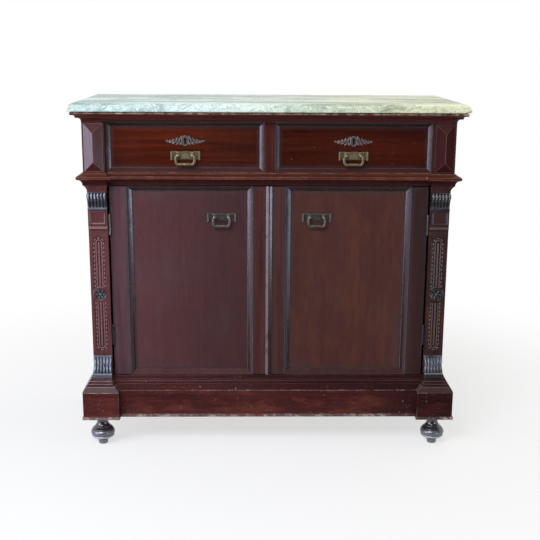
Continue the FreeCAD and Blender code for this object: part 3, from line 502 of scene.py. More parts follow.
# Painted shade: a darker, dull copy of the block wood for the front of the right-hand block.
dull_block_wood = wood_finish("dull_block_wood", light=(0.056, 0.0125, 0.0125), dark=(0.026, 0.0060, 0.0060),
                              gloss=0.34, wear=0.6, worn=(0.11, 0.062, 0.054), specular=0.03)
# Its pale worn colour also paints a highlight along the cornice bead.
top_wood = wood_finish("top_wood", light=(0.100, 0.019, 0.014), dark=(0.034, 0.006, 0.005), gloss=0.30,
                       wear=0.40, worn=(0.40, 0.31, 0.20), specular=0.3)
waist_wood = wood_finish("waist_wood", light=(0.132, 0.029, 0.014), dark=(0.042, 0.008, 0.005), gloss=0.40,
                         wear=0.58, worn=(0.26, 0.125, 0.080), chips=0.5, specular=0.15)
# Painted shade: a darker copy for the lower half of the waist moulding.
soffit_wood = wood_finish("soffit_wood", light=(0.058, 0.010, 0.009), dark=(0.024, 0.0040, 0.0036),
                          gloss=0.50, wear=0.5, worn=(0.10, 0.040, 0.030), specular=0.08)
print("woods so far:", wood_count())

# %% [markdown]
# ## The woods of the fronts
# Drawer fronts are the deepest red and the best polished. The doors have a browner, cloudier veneer, with
# broken varnish on the panels. Left and right are copies of one wood, painted with light: the left drawer
# is lighter and the left door more violet, as lit by the bluish window, and the right side darker.

# %% Drawer and door woods
drawer_wood = {
    # Painted light: the left drawer is a lighter copy of the drawer wood, the right a darker one.
    "left": wood_finish("left_drawer_wood", light=(0.100, 0.0145, 0.003), dark=(0.024, 0.0034, 0.001),
                        gloss=0.26, wear=0.45, worn=(0.11, 0.028, 0.012), specular=0.3, grime=0.55,
                        nicks=0.3, sun=(-0.02, -0.34, (0.86, 0.92, 1.3), (1.45, 1.15, 0.8))),
    "right": wood_finish("right_drawer_wood", light=(0.070, 0.0085, 0.002), dark=(0.018, 0.0022, 0.001),
                         gloss=0.26, wear=0.45, worn=(0.09, 0.024, 0.012), specular=0.25, grime=0.55,
                         nicks=0.3),
}
# Painted light: the left door's copy is more violet, as lit by the bluish window, the right's browner.
LEFT_DOOR = dict(light=(0.088, 0.032, 0.033), dark=(0.038, 0.0120, 0.0130), gloss=0.34, wear=0.45,
                 worn=(0.14, 0.070, 0.062))
RIGHT_DOOR = dict(light=(0.096, 0.031, 0.024), dark=(0.044, 0.0125, 0.0100), gloss=0.34, wear=0.45,
                  worn=(0.14, 0.070, 0.058))
# The haze on the panels is partly a painted sheen.
panel_wood = {
    "left": wood_finish("left_panel_wood", figure=0.25, grime=0.7, mottle=(0.082, 0.026, 0.024),
                        haze=(0.062, 0.036, 0.040),
                        sun=(-0.05, -0.45, (0.82, 0.80, 0.82), (1.30, 1.26, 1.30)), **LEFT_DOOR),
    "right": wood_finish("right_panel_wood", figure=0.25, grime=0.7, mottle=(0.096, 0.029, 0.014),
                         haze=(0.064, 0.034, 0.034), **RIGHT_DOOR),
}
door_wood = {
    "left": wood_finish("left_door_wood", grime=0.72,
                        sun=(-0.05, -0.45, (1.08, 0.78, 0.66), (1.36, 1.58, 1.92)), **LEFT_DOOR),
    "right": wood_finish("right_door_wood", grime=0.72,
                         sun=(0.44, 0.05, (0.55, 0.60, 0.66), (1.0, 0.95, 1.12)), **RIGHT_DOOR),
}
print("woods so far:", wood_count())

# %% [markdown]
# ## Polished bevels and dusty ledges
# The bevelled mouldings round the fronts are dark and mirror the window and the panels, so they have the
# hardest polish. A bevel that looks up gathers dust instead and hardly shines. Three dusty finishes suit
# the three places; the one on the base moulding is also paler, a painted highlight on its upper steps.

# %% Bevel and dust woods
POLISHED = dict(light=(0.042, 0.0115, 0.0115), dark=(0.019, 0.0050, 0.0050), gloss=0.21, wear=0.6,
                worn=(0.17, 0.120, 0.112), specular=0.58, cloud=0.4, craze=1.6)
bevel_wood = wood_finish("bevel_wood", grime=0.8, **POLISHED)
bead_wood = wood_finish("bead_wood", **POLISHED)
dusty_wood = wood_finish("dusty_wood", light=(0.060, 0.022, 0.022), dark=(0.032, 0.0105, 0.0105), gloss=0.55,
                         wear=0.45, worn=(0.12, 0.070, 0.062), specular=0.08,
                         sun=(0.10, -0.20, (1.0, 0.97, 0.88), (1.38, 1.25, 1.25)))
dusty_red_wood = wood_finish("dusty_red_wood", light=(0.058, 0.0145, 0.0125), dark=(0.028, 0.0065, 0.0055),
                             gloss=0.5, wear=0.7, worn=(0.16, 0.080, 0.062), specular=0.08)
# Dust and painted light: the up-facing steps of the base moulding are paler, as a painted highlight.
dusty_base_wood = wood_finish("dusty_base_wood", light=(0.085, 0.040, 0.038), dark=(0.042, 0.017, 0.016),
                              gloss=0.5, wear=0.5, worn=(0.20, 0.140, 0.130), specular=0.1,
                              sun=(0.20, -0.42, (0.62, 0.48, 0.48), (1.3, 1.4, 1.45)))
print("woods so far:", wood_count())

# %% [markdown]
# ## The woods of the plinth and the carving
# The plinth is scuffed by brooms and shoes, so it has the most chips and nicks. The carved pilasters were
# waxed again and again. Their reeds are nearly black with a painted cold, bluish sheen, their waxed rings
# and fillets are painted bluish as sheen, and their raised parts are pale, partly rubbed and partly painted
# highlights.

# %% Plinth and carved woods
plinth_wood = wood_finish("plinth_wood", light=(0.094, 0.016, 0.015), dark=(0.028, 0.0050, 0.005), gloss=0.34,
                          wear=0.54, worn=(0.27, 0.215, 0.21), chips=1.0, specular=0.22, nicks=0.6,
                          mottle=(0.136, 0.029, 0.017), sun=right_shade(0.52, 0.42, 0.44))
# Its pale worn edges also paint the highlight lines of the base moulding.
base_wood = wood_finish("base_wood", light=(0.058, 0.012, 0.011), dark=(0.022, 0.0045, 0.004), gloss=0.28,
                        wear=0.75, worn=(0.25, 0.170, 0.165), specular=0.4, nicks=0.5,
                        sun=(0.35, -0.30, (0.58, 0.48, 0.52), (1.38, 1.22, 1.20)))
cap_wood = wood_finish("cap_wood", light=(0.070, 0.030, 0.033), dark=(0.032, 0.0120, 0.0135), gloss=0.28,
                       wear=0.80, worn=(0.30, 0.215, 0.205), specular=0.5, mottle=(0.125, 0.056, 0.034),
                       sun=right_shade(0.46, 0.37, 0.35))
carved_wood = varnished_wood("carved_wood", "z", light=(0.122, 0.038, 0.039), dark=(0.032, 0.0095, 0.0095),
                             gloss=0.30, wear=0.75, worn=(0.30, 0.185, 0.165), specular=0.4,
                             mottle=(0.112, 0.026, 0.018), sun=right_shade(0.62, 0.80, 0.76))
# Painted sheen: the bluish colour stands for the window mirrored in the wax.
waxed_wood = varnished_wood("waxed_wood", "z", light=(0.112, 0.134, 0.190), dark=(0.026, 0.028, 0.036),
                            gloss=0.22, wear=0.6, worn=(0.18, 0.19, 0.22), cloud=0.1, specular=0.9,
                            sun=right_shade(0.42, 0.36, 0.31))
# Painted sheen and highlights: a bluish dark reed with pale bluish crowns.
reed_wood = varnished_wood("reed_wood", "z", light=(0.054, 0.060, 0.080), dark=(0.014, 0.013, 0.017),
                           gloss=0.17, wear=0.52, worn=(0.44, 0.49, 0.60), cloud=0.1, specular=0.6,
                           sun=right_shade(0.72, 0.68, 0.60))
print("woods so far:", wood_count())

# %% [markdown]
# ## Plain inner wood and black turnings
# Inside, the maker used cheap pale boards with no varnish, so those are rough and show only grain and
# stains. The feet and the rosettes are stained black and polished: nearly black wood under a hard gloss,
# with pale places that are partly rubbed by hands and brooms and partly painted highlights.

# %% Inner and black wood
def inner_wood(axis):
    material, net, shader = new_material(f"inner_wood_{axis}")
    spot = net.spot()
    along = net.out("ShaderNodeMapping", {"Vector": spot, "Rotation": GRAIN_TURNS[axis]})
    grain = net.group("board_grain", {
        "Vector": along, "Light": (0.46, 0.30, 0.16), "Dark": (0.27, 0.15, 0.075), "Figure": 0.9})
    stain = net.step(net.noise(spot, 7.0, 4.0, 0.6), 0.45, 0.75)
    net.feed(shader, {
        "Base Color": net.mix(net.times(stain, 0.35), grain["Color"], (0.14, 0.075, 0.04)),
        "Roughness": net.plus(0.62, net.times(stain, 0.15), True),
        "Normal": net.bump(grain["Pores"], 0.3, 0.0005, invert=True), "Specular IOR Level": 0.25,
    })
    return material


pale_wood = {axis: inner_wood(axis) for axis in GRAIN_TURNS}
# Its pale bluish worn colour also paints highlights on the feet.
black_wood = varnished_wood("black_wood", "z", light=(0.044, 0.034, 0.042), dark=(0.018, 0.013, 0.016),
                            gloss=0.19, wear=1.1, worn=(0.31, 0.33, 0.38), cloud=0.2, specular=1.0)
# Its pale worn colour also paints a highlight on the button and the petal tips.
rosette_wood = varnished_wood("rosette_wood", "z", light=(0.030, 0.024, 0.028), dark=(0.012, 0.009, 0.011),
                              gloss=0.24, wear=0.62, worn=(0.090, 0.086, 0.100), cloud=0.2, specular=0.6,
                              sun=right_shade(0.60, 0.52, 0.46))
print("woods in all:", wood_count())

# %% [markdown]
# ## Marble
# The slab is a pale green-grey marble that turns warmer towards the right. It is clouded in long streaks,
# broken up by mottling in three sizes, with small ochre patches and thin dark veins. A vein is the narrow
# band where a noise crosses its middle value, so it wanders and never ends in a straight line. The polish
# has gone a little dull.

# %% Marble
marble, net, shader = new_material("pale_marble")
spot = net.spot()
bent = net.noise(spot, 3.0, 3.0, 0.6)
place = net.moved(net.stretch(spot, (1.0, 1.7, 1.7)), net.stretch(bent, (0.2, 0.2, 0.2)))
drift = net.noise(place, 7.0, 6.0, 0.68, 0.6)
streak = net.noise(net.stretch(spot, (3.0, 10, 10)), 1.0, 5.0, 0.55, 0.7)
mottle = net.noise(place, 85.0, 5.0, 0.75, 0.3)
speck = net.noise(place, 200.0, 3.0, 0.65)
rust = net.noise(place, 11.0, 5.0, 0.65, 1.5)
wander = net.math("ABSOLUTE", net.minus(net.noise(place, 9.0, 6.0, 0.6, 1.2), 0.5))
vein = net.times(net.step(wander, 0.022, 0.0), net.step(net.noise(place, 5.0), 0.42, 0.6))
rightwards = net.step(net.axis(spot, 0), -0.35, 0.50)
on_top = net.step(net.axis(spot, 2), 0.999, 1.003, 0.3, 1.0)
ground = net.mix(rightwards, (0.545, 0.695, 0.65), (0.60, 0.64, 0.42))
shade = net.mix(rightwards, (0.25, 0.345, 0.335), (0.31, 0.33, 0.215))
pale = net.mix(rightwards, (0.74, 0.86, 0.83), (0.75, 0.77, 0.55))
colour = net.mix(net.step(drift, 0.32, 0.56), shade, ground)
for mask, share, tint in (
    (net.step(streak, 0.50, 0.57), on_top, shade),
    (net.step(streak, 0.48, 0.41), on_top, pale),
    (net.step(mottle, 0.52, 0.64), 0.7, shade),
    (net.step(mottle, 0.50, 0.38), 0.8, pale),
    (net.step(rust, 0.58, 0.70), 0.5, (0.42, 0.38, 0.25)),
    (vein, 0.7, (0.16, 0.20, 0.18)),
    (net.step(speck, 0.58, 0.68), 0.6, (0.18, 0.23, 0.20)),
):
    colour = net.mix(net.times(mask, share), colour, tint)
net.feed(shader, {
    "Base Color": colour, "Roughness": net.plus(0.22, net.times(net.noise(spot, 8.0, 4.0, 0.6), 0.22)),
    "Normal": net.bump(mottle, 0.15, 0.0008), "Specular IOR Level": 0.2,
})
print("marble nodes:", len(net.tree.nodes))

# %% [markdown]
# ## Old metals
# The pulls are cast brass that has gone olive and dull in the hollows and stays bright where fingers touch,
# the keyhole plates are almost pewter-dark, and the hinges are plain iron with a painted highlight on their
# knuckles. All of them share one effect: tarnish and grime as noise, and the wear attribute for the places
# that hands keep clean, which on the hinges and the pull plates also paints highlights.

# %% Tarnish group
net, given, result = node_group(
    "tarnish", "Shader", {"Vector": "Vector"}, {"Tarnish": "Float", "Grime": "Float", "Touched": "Float"})
finger = net.step(net.noise(given["Vector"], 210.0, 3.0, 0.6), 0.30, 0.62, 0.45, 1.0)
net.feed(result, {
    "Tarnish": net.step(net.noise(given["Vector"], 130.0, 4.0, 0.65, 0.4), 0.38, 0.66),
    "Grime": net.step(net.noise(given["Vector"], 420.0, 3.0, 0.6), 0.52, 0.72),
    "Touched": net.times(net.attribute("wear"), finger),
})
print("tarnish nodes:", len(net.tree.nodes))

# %% [markdown]
# One recipe then makes every metal from its bright, dull, dirty and polished colour and its gloss. The
# attribute "hollow" marks the places that are never wiped.

# %% Metals
METALS = {  # bright, dull, dirt, polish, gloss
    "olive_brass": ((0.185, 0.150, 0.068), (0.075, 0.060, 0.028), (0.024, 0.018, 0.011),
                    (0.41, 0.34, 0.22), 0.36),
    "dark_brass": ((0.088, 0.070, 0.062), (0.038, 0.030, 0.028), (0.018, 0.013, 0.012),
                   (0.30, 0.26, 0.25), 0.36),
    "keyhole_metal": ((0.105, 0.082, 0.072), (0.046, 0.036, 0.032), (0.014, 0.010, 0.009),
                      (0.185, 0.152, 0.135), 0.42),
    "keyhole_dark": ((0.007, 0.006, 0.006), (0.004, 0.003, 0.003), (0.003, 0.002, 0.002),
                     (0.007, 0.006, 0.006), 0.8),
    "hinge_iron": ((0.055, 0.052, 0.050), (0.025, 0.023, 0.023), (0.014, 0.012, 0.012),
                   (0.26, 0.25, 0.22), 0.34),
}


def old_metal(name, bright, dull, dirt, polish, gloss):
    material, net, shader = new_material(name)
    spot = net.spot()
    age = net.group("tarnish", {"Vector": spot})
    colour = net.mix(age["Tarnish"], bright, dull)
    colour = net.mix(net.times(age["Grime"], 0.7), colour, dirt)
    colour = net.mix(net.attribute("hollow"), net.mix(age["Touched"], colour, polish), dirt)
    rough = net.plus(gloss, net.times(net.plus(age["Tarnish"], age["Grime"]), 0.12))
    net.feed(shader, {
        "Base Color": colour, "Roughness": net.minus(rough, net.times(age["Touched"], 0.12), True),
        "Metallic": 0.55, "Normal": net.bump(net.noise(spot, 260.0, 4.0, 0.6), 0.3, 0.0003),
    })
    return material


metal = {name: old_metal(name, *values) for name, values in METALS.items()}
print("metals:", list(metal))

# %% [markdown]
# ## Softening the boards
# No real board has a knife edge: sanding, polish and a century of dusters round it off. Each solid's mesh
# is copied, its triangles are merged into flat faces, and its sharp edges get a narrow bevel whose faces
# are marked 1 in the attribute "wear". A node can hold several boards. Merging joins boards that touch
# along an edge, and a bevel would tear such an edge, so they are parted again first and their hidden ends
# are left sharp.

# %% Board tools
SHARP = math.radians(24)


def marks(bm, name):
    """The layer that keeps one number for each face; it is made if it isn't there yet."""
    layers = bm.faces.layers.float
    return layers.get(name) or layers.new(name)


def node_bmesh(node):
    """A merged copy of a CAD node's mesh, its triangles joined into flat faces."""
    bm = bmesh.new()
    bm.from_mesh(frame["nodes"][node].data)
    bmesh.ops.remove_doubles(bm, verts=bm.verts, dist=1e-6)
    bmesh.ops.dissolve_limit(bm, angle_limit=math.radians(0.6), verts=bm.verts, edges=bm.edges)
    return bm


def islands(bm, closed=False):
    """Groups of connected faces, one for each board; closed doesn't cross an edge where boards touch."""
    left = set(bm.faces)
    groups = []
    for first in bm.faces:
        if first not in left:
            continue
        left.remove(first)
        stack, group = [first], []
        while stack:
            face = stack.pop()
            group.append(face)
            for edge in face.edges:
                if closed and len(edge.link_faces) != 2:
                    continue
                for other in edge.link_faces:
                    if other in left:
                        left.remove(other)
                        stack.append(other)
        groups.append(group)
    return groups


def part_boards(bm):
    """Part boards that merging has joined, and close the ends where two boards met face to face."""
    cap = bm.faces.layers.int.new("cap")
    if all(len(edge.link_faces) == 2 for edge in bm.edges):
        return
    groups = islands(bm, True)
    between = [g for g in groups if all(abs(f.normal.dot(g[0].normal)) > 0.999 for f in g)]
    bmesh.ops.delete(bm, geom=[f for g in between for f in g], context="FACES")
    for group in groups:
        if group not in between:
            bmesh.ops.split(bm, geom=group)
    ends = bmesh.ops.holes_fill(bm, edges=[e for e in bm.edges if e.is_boundary], sides=0)["faces"]
    board = marks(bm, "board")
    for end in ends:
        side = next(f for f in end.edges[0].link_faces if f != end)
        end[cap], end[board], end.material_index = 1, side[board], side.material_index
    bmesh.ops.recalc_face_normals(bm, faces=bm.faces)


def soften(bm, width, segments=2):
    """Bevel the sharp edges of a mesh, apart from those of hidden ends, and mark the bevels as worn."""
    wear = marks(bm, "wear")
    cap = bm.faces.layers.int.get("cap")
    sharp = [e for e in bm.edges if e.is_manifold and e.calc_face_angle(0) > SHARP
             and not (cap and any(f[cap] for f in e.link_faces))]
    made = bmesh.ops.bevel(bm, geom=sharp, offset=width, segments=segments, profile=0.5, affect="EDGES",
                           clamp_overlap=True)
    for face in made["faces"]:
        face[wear] = 1.0


sample = node_bmesh("back_boards")
print("boards in the back:", len(islands(sample)))
sample.free()

# %% [markdown]
# A finished piece is a plain mesh at the origin that rides on the body of its node and hides that node.
# Weighted normals keep the flat faces flat in the light, so that only the bevels look round.

# %% Finished pieces
BODY_OF = {node: body for body, nodes in frame["record"]["behaviour"]["bodies"].items() for node in nodes}


def finish_piece(name, bm, materials, node):
    """Turn a bmesh into a shaded piece that stands for a CAD node."""
    mesh = bpy.data.meshes.new(name)
    bm.to_mesh(mesh)
    bm.free()
    for material in materials:
        mesh.materials.append(material)
    mesh.polygons.foreach_set("use_smooth", [True] * len(mesh.polygons))
    mesh.set_sharp_from_angle(angle=math.radians(38))
    item = bpy.data.objects.new(name, mesh)
    scene.collection.objects.link(item)
    even = item.modifiers.new("even_normals", "WEIGHTED_NORMAL")
    even.keep_sharp = True
    even.weight = 80
    plain = bpy.data.meshes.new_from_object(item.evaluated_get(bpy.context.evaluated_depsgraph_get()))
    item.modifiers.remove(even)
    item.data = plain
    bpy.data.meshes.remove(mesh)
    plain.name = name
    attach(item, BODY_OF[node])
    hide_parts(node)


# %% [markdown]
# The softener puts these together for a node of boards. Each board gets its own number in "board": partly
# from its place, as painted light that makes boards on the left lighter and those on the right darker, and
# partly by chance, from dice with a fixed seed. The grain follows its longest side. A piece can have other
# finishes at places that a rule picks out, its own rule for the wear and painted highlights, and the
# distances to the borders of its front for the darkening along them.

# %% Soft boards
dice = random.Random(7)


def every_way(material):
    """A finish without grain, the same for boards along any axis."""
    return dict.fromkeys("xyz", material)


def mark_borders(bm, fronts):
    """Store at each corner how far it lies from the borders of its front: (x0, x1, z0, z1)."""
    from_low = bm.loops.layers.float_vector.new("from_low")
    from_high = bm.loops.layers.float_vector.new("from_high")
    for face in bm.faces:
        x = face.calc_center_median().x
        x0, x1, z0, z1 = min(fronts, key=lambda f: abs(x - (f[0] + f[1]) / 2))
        for loop in face.loops:
            loop[from_low] = loop.vert.co - Vector((x0, 0, z0))
            loop[from_high] = Vector((x1, 0, z1)) - loop.vert.co


def soft_boards(node, finish, width, segments=2, rub=None, others=(), where=None, fronts=None, joint=None):
    """Stand-in for a node of boards. By a face's place, in millimetres, and its normal, where picks its
    finish: 0 is the main one, 1 the first of the others. By the place and the edge wear, rub gives the
    wear. joint adds faces between the boards."""
    bm = node_bmesh(node)
    board = marks(bm, "board")
    for group in islands(bm):
        spots = np.array([v.co for f in group for v in f.verts])
        extent = spots.max(0) - spots.min(0)
        # Painted light: the number falls from left to right across the cabinet; the dice add a random tone.
        shade = 0.5 - 0.7 * spots.mean(0)[0] + 0.3 * (dice.random() - 0.5)
        for face in group:
            face[board] = shade
            face.material_index = int(np.argmax(extent))
    part_boards(bm)
    if joint:
        joint(bm)
    soften(bm, width, segments)
    low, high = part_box(node)
    for v in bm.verts:
        v.co = [min(max(c, a), b) for c, a, b in zip(v.co, low, high)]
    bm.normal_update()
    wear = marks(bm, "wear")
    for face in bm.faces:
        spot = face.calc_center_median() / MM
        if where:
            face.material_index += 3 * int(where(spot, face.normal))
        if rub:
            face[wear] = rub(spot, face[wear])
    if fronts:
        mark_borders(bm, fronts)
    finish_piece(node + "_soft", bm, [choice[a] for choice in (finish, *others) for a in "xyz"], node)


def soft_count():
    return len([o for o in scene.objects if o.name.endswith("_soft")])


print("softened so far:", soft_count())

# %% [markdown]
# ## The case
# Frames, panels, mouldings and plinth are boards, so the softener makes them all. First come the rules that
# say where they are worn, dusty or dull, and where shade or highlight is painted: the cornice and the
# plinth stand in the way of trays, brooms and shoes.

# %% Case rules
CORNICE_BEAD_Z = 975.5
PLINTH_BEAD_Z, PLINTH_EDGE_Z, BLOCK_X = 97, 165, 440
CAP_LOW, CAP_TOP = [corner.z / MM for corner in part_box("plinth_caps")]
CAP_RING_Z = CAP_TOP - 10.5
WAIST_LOW, WAIST_TOP = [corner.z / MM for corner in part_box("waist_moulding")]


def tray_wear(spot, edge):
    """The cornice bead's upper half is rubbed bare and painted pale as a highlight; below, hardly rubbed."""
    return 1.0 if spot.z > CORNICE_BEAD_Z else 0.15 * edge


def broom_wear(spot, edge):
    """The plinth's bead has lost its varnish; its upper edges are chipped."""
    if spot.z < PLINTH_BEAD_Z:
        return 0.6 if abs(spot.x) > BLOCK_X else 0.42
    return edge if spot.z > PLINTH_EDGE_Z else 0.2 * edge


def cap_wear(spot, edge):
    """The plinth caps are rubbed on their edges and on the lowest step, and not on their top ring."""
    if spot.z > CAP_RING_Z:
        return 0.0
    return max(0.18, 0.6 * edge) if spot.z < CAP_LOW + 11 else edge


def waist_wear(spot, edge):
    """Keys and hands rub the top edge of the waist moulding, and the corners where it steps forward."""
    if 421 < abs(spot.x) < BLOCK_X and spot.z > WAIST_TOP - 14:
        return max(edge, 0.5)
    return 0.7 if spot.z > WAIST_TOP - 2.2 else 0.2 * edge


def ledge(spot, normal):
    """Faces that look up gather dust and lose their gloss."""
    return normal.z > 0.3


def block_places(spot, normal):
    """Dust on the ledges; the right-hand block's front, away from the window, is dull and painted dark as
    shade.
    """
    return 1 if ledge(spot, normal) else 2 if spot.x > 0 and normal.y < -0.3 else 0


def shaded_half(spot, normal):
    """The lower half of the waist moulding, painted darker as the shade of its upper half."""
    return spot.z < (WAIST_LOW + WAIST_TOP) / 2


def cap_ring(spot, normal):
    """The waxed ring on top of each plinth cap, under the scroll, painted with a bluish sheen."""
    return spot.z > CAP_RING_Z


def tongues(bm):
    """Thin tongues in the joints between neighbouring back boards, so that no light comes through."""
    low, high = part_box("back_boards")
    middle = (low.y + high.y) / 2
    spans = []
    for group in islands(bm):
        places = [v.co.x for face in group for v in face.verts]
        spans.append((min(places), max(places)))
    spans.sort()
    for (_, left), (right, _) in zip(spans, spans[1:]):
        for v in bmesh.ops.create_cube(bm, size=1)["verts"]:
            x = left - 4 * MM if v.co.x < 0 else right + 4 * MM
            v.co = (x, middle + 3 * MM * v.co.y, low.z + 1 * MM if v.co.z < 0 else high.z - 1 * MM)


print("waist up to", round(WAIST_TOP, 1), "mm, plinth caps up to", round(CAP_TOP, 1), "mm")

# %% [markdown]
# Then each node takes its finish and its rules. Outer boards are rounded by about a millimetre; the boards
# inside were never sanded so well and get a narrower, plainer edge.

# %% Case boards
for node in ("front_posts", "side_frames", "side_panels", "waist_rail", "drawer_divider"):
    soft_boards(node, case_wood, 0.9 * MM)
soft_boards("corner_blocks", block_wood, 0.9 * MM, others=[dusty_wood, dull_block_wood], where=block_places)
soft_boards("waist_moulding", waist_wood, 1.0 * MM, rub=waist_wear, others=[soffit_wood], where=shaded_half)
soft_boards("cornice", top_wood, 1.0 * MM, rub=tray_wear)
soft_boards("base_moulding", base_wood, 1.0 * MM, others=[dusty_base_wood], where=ledge)
soft_boards("plinth_caps", cap_wood, 1.0 * MM, rub=cap_wear, others=[every_way(waxed_wood)], where=cap_ring)
for node in ("plinth_blocks", "plinth_boards"):
    soft_boards(node, plinth_wood, 1.0 * MM, rub=broom_wear)
for node in ("top_frame", "back_boards", "cupboard_floor", "shelf", "battens", "dust_board", "drawer_runners",
             "drawer_guides"):
    soft_boards(node, pale_wood, 0.7 * MM, 1, joint=tongues if node == "back_boards" else None)
print("softened so far:", soft_count())

# %% [markdown]
# ## Doors and drawers
# A door is two stiles, a panel and four bevelled mouldings; a drawer is a front with bevels and a plain box
# behind it. Where the doors meet, each carries half of a bead. The left door shuts last, so its half has
# lost its polish to hands. Each front is darkened along its borders, so every front is given as a
# rectangle.

# %% Doors and drawers
BEAD_HALF = 9.4
STILE_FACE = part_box("door_left_moulding")[0].y / MM


def meeting_bead(spot, normal):
    """The half bead on each door's meeting edge, which stands out from the stile."""
    return abs(spot.x) < BEAD_HALF and spot.y < STILE_FACE - 0.3


def bead_wear(spot, edge):
    return 0.75 if spot.x < 0 and meeting_bead(spot, None) else 0.5 * edge


def front_rectangle(node, margin=0.0):
    low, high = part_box(node)
    return low.x + margin, high.x - margin, low.z + margin, high.z - margin


for side in ("left", "right"):
    frame_x0, frame_x1, z0, z1 = front_rectangle(f"door_{side}_frame")
    panel_x0, panel_x1, _, _ = front_rectangle(f"door_{side}_panel")
    if side == "left":
        frame_x1 = -BEAD_HALF * MM
    else:
        frame_x0 = BEAD_HALF * MM
    soft_boards(f"door_{side}_frame", door_wood[side], 0.8 * MM, rub=bead_wear, others=[bead_wood],
                where=meeting_bead, fronts=[(frame_x0, panel_x0, z0, z1), (panel_x1, frame_x1, z0, z1)])
    soft_boards(f"door_{side}_panel", panel_wood[side], 0.8 * MM,
                fronts=[front_rectangle(f"door_{side}_panel", 15 * MM)])
    soft_boards(f"drawer_{side}_front", drawer_wood[side], 0.7 * MM,
                fronts=[front_rectangle(f"drawer_{side}_front", 11.5 * MM)])
    for kind, dust in (("door", dusty_wood), ("drawer", dusty_red_wood)):
        node = f"{kind}_{side}_moulding"
        soft_boards(node, bevel_wood, 0.7 * MM, others=[dust], where=ledge, fronts=[front_rectangle(node)])
    for part in ("box", "bottom"):
        soft_boards(f"drawer_{side}_{part}", pale_wood, 0.7 * MM, 1)
print("softened so far:", soft_count())

# %% [markdown]
# ## Hinges and locks
# Hinges, lock cases and bolts are small metal blocks, and the softener rounds them as well, only by less. A
# painted highlight runs down the front of the knuckle of the upper left hinge, and faintly on the right one.

# %% Hinges and locks
KNUCKLE_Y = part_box("door_left_hinge_leaves")[0].y / MM + 0.9
UPPER_HINGE_Z = 400


# Painted highlight: a bright strip on the front of the upper knuckles, strongest on the left.
def knuckle_wear(spot, edge):
    if spot.y > KNUCKLE_Y or spot.z < UPPER_HINGE_Z:
        return 0.0
    return 0.9 if spot.x < 0 else 0.2


for node in ("hinge_frame_leaves", "hinge_pins", "door_left_hinge_leaves", "door_right_hinge_leaves",
             "drawer_left_lock_case", "drawer_right_lock_case"):
    soft_boards(node, every_way(metal["hinge_iron"]), 0.25 * MM, 1, rub=knuckle_wear)
for side in ("left", "right"):
    soft_boards(f"drawer_{side}_lock_bolt", every_way(metal["olive_brass"]), 0.4 * MM)
print("softened in all:", soft_count())

# %% [markdown]
# ## The marble slab
# The slab's front and ends are worked to a soft ogee that leans back from a thick lip. One outline of the
# slab, with rounded front corners, is repeated at each height of the profile and moved inwards by the
# profile's inset. Faces between the outlines then make the edge, as a mason's profiled wheel does.

# %% Marble slab
def curve_through(points, count):
    """Points along a smooth curve through the given ones."""
    points = np.array(points, float)
    ends = np.vstack([2 * points[0] - points[1], points, 2 * points[-1] - points[-2]])
    path = []
    for i in range(len(points) - 1):
        p0, p1, p2, p3 = ends[i:i + 4]
        for t in np.linspace(0, 1, count, endpoint=False):
            path.append(0.5 * (2 * p1 + (p2 - p0) * t + (2 * p0 - 5 * p1 + 4 * p2 - p3) * t ** 2
                               + (3 * p1 - p0 - 3 * p2 + p3) * t ** 3))
    return np.array(path + [points[-1]])


def loft(bm, rings):
    """Faces from each ring of points to the next, with the first and the last ring closed."""
    for below, above in zip(rings, rings[1:]):
        for k in range(len(below)):
            j = (k + 1) % len(below)
            bm.faces.new((below[k], below[j], above[j], above[k]))
    bm.faces.new(rings[-1])
    bm.faces.new(rings[0][::-1])


low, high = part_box("marble_top")
profile = curve_through([(2.6, 0), (0.4, 1.6), (0.0, 5.0), (0.5, 8.2), (2.6, 9.6), (3.0, 12.0), (4.2, 15.4),
                         (7.0, 18.6), (9.8, 20.6), (12.5, 22)], 5) * MM
bm = bmesh.new()
rings = []
for inset, height in np.maximum(profile, 0):
    x, front = high.x - inset, low.y + inset
    bend = max(4 * MM - inset * 0.2, 1 * MM)
    outline = [(-x, high.y)]
    for centre_x, start in ((bend - x, math.pi), (x - bend, 1.5 * math.pi)):
        for a in np.linspace(start, start + math.pi / 2, 6):
            outline.append((centre_x + bend * math.cos(a), front + bend + bend * math.sin(a)))
    outline.append((x, high.y))
    rings.append([bm.verts.new((px, py, low.z + height)) for px, py in outline])
loft(bm, rings)
bmesh.ops.recalc_face_normals(bm, faces=bm.faces)
finish_piece("marble_slab", bm, [marble], "marble_top")
print("marble profile points:", len(profile))

# %% [markdown]
# ## Carving tools
# Carved work is easier to describe as a surface than as boards. One tool lifts and sinks a grid of points
# on the front of a slab, by a rule that gives a height for each place, and one sweeps reeds across a curved
# profile. Everything is drawn on the right-hand pilaster and mirrored, as the maker did with one template.

# %% Carving tools
low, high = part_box("front_posts")
PILASTER_X0, PILASTER_X1 = high.x - 54.5 * MM, high.x
FACE_Y = low.y


def smooth_step(value, low, high):
    t = min(max((value - low) / (high - low), 0), 1)
    return t * t * (3 - 2 * t)


def grid_faces(bm, rows):
    """Faces over a grid of points; the points on its rim, in order, are given back."""
    for below, above in zip(rows, rows[1:]):
        for k in range(len(below) - 1):
            bm.faces.new((below[k], below[k + 1], above[k + 1], above[k]))
    return rows[0] + [r[-1] for r in rows[1:]] + rows[-1][-2::-1] + [r[0] for r in rows[-2:0:-1]]


def close_back(bm, rim):
    """Close a carved front with side walls and a back on the post's face."""
    back = [bm.verts.new((v.co.x, FACE_Y, v.co.z)) for v in rim]
    for k in range(len(rim)):
        j = (k + 1) % len(rim)
        bm.faces.new((rim[j], rim[k], back[k], back[j]))
    bm.faces.new(back)


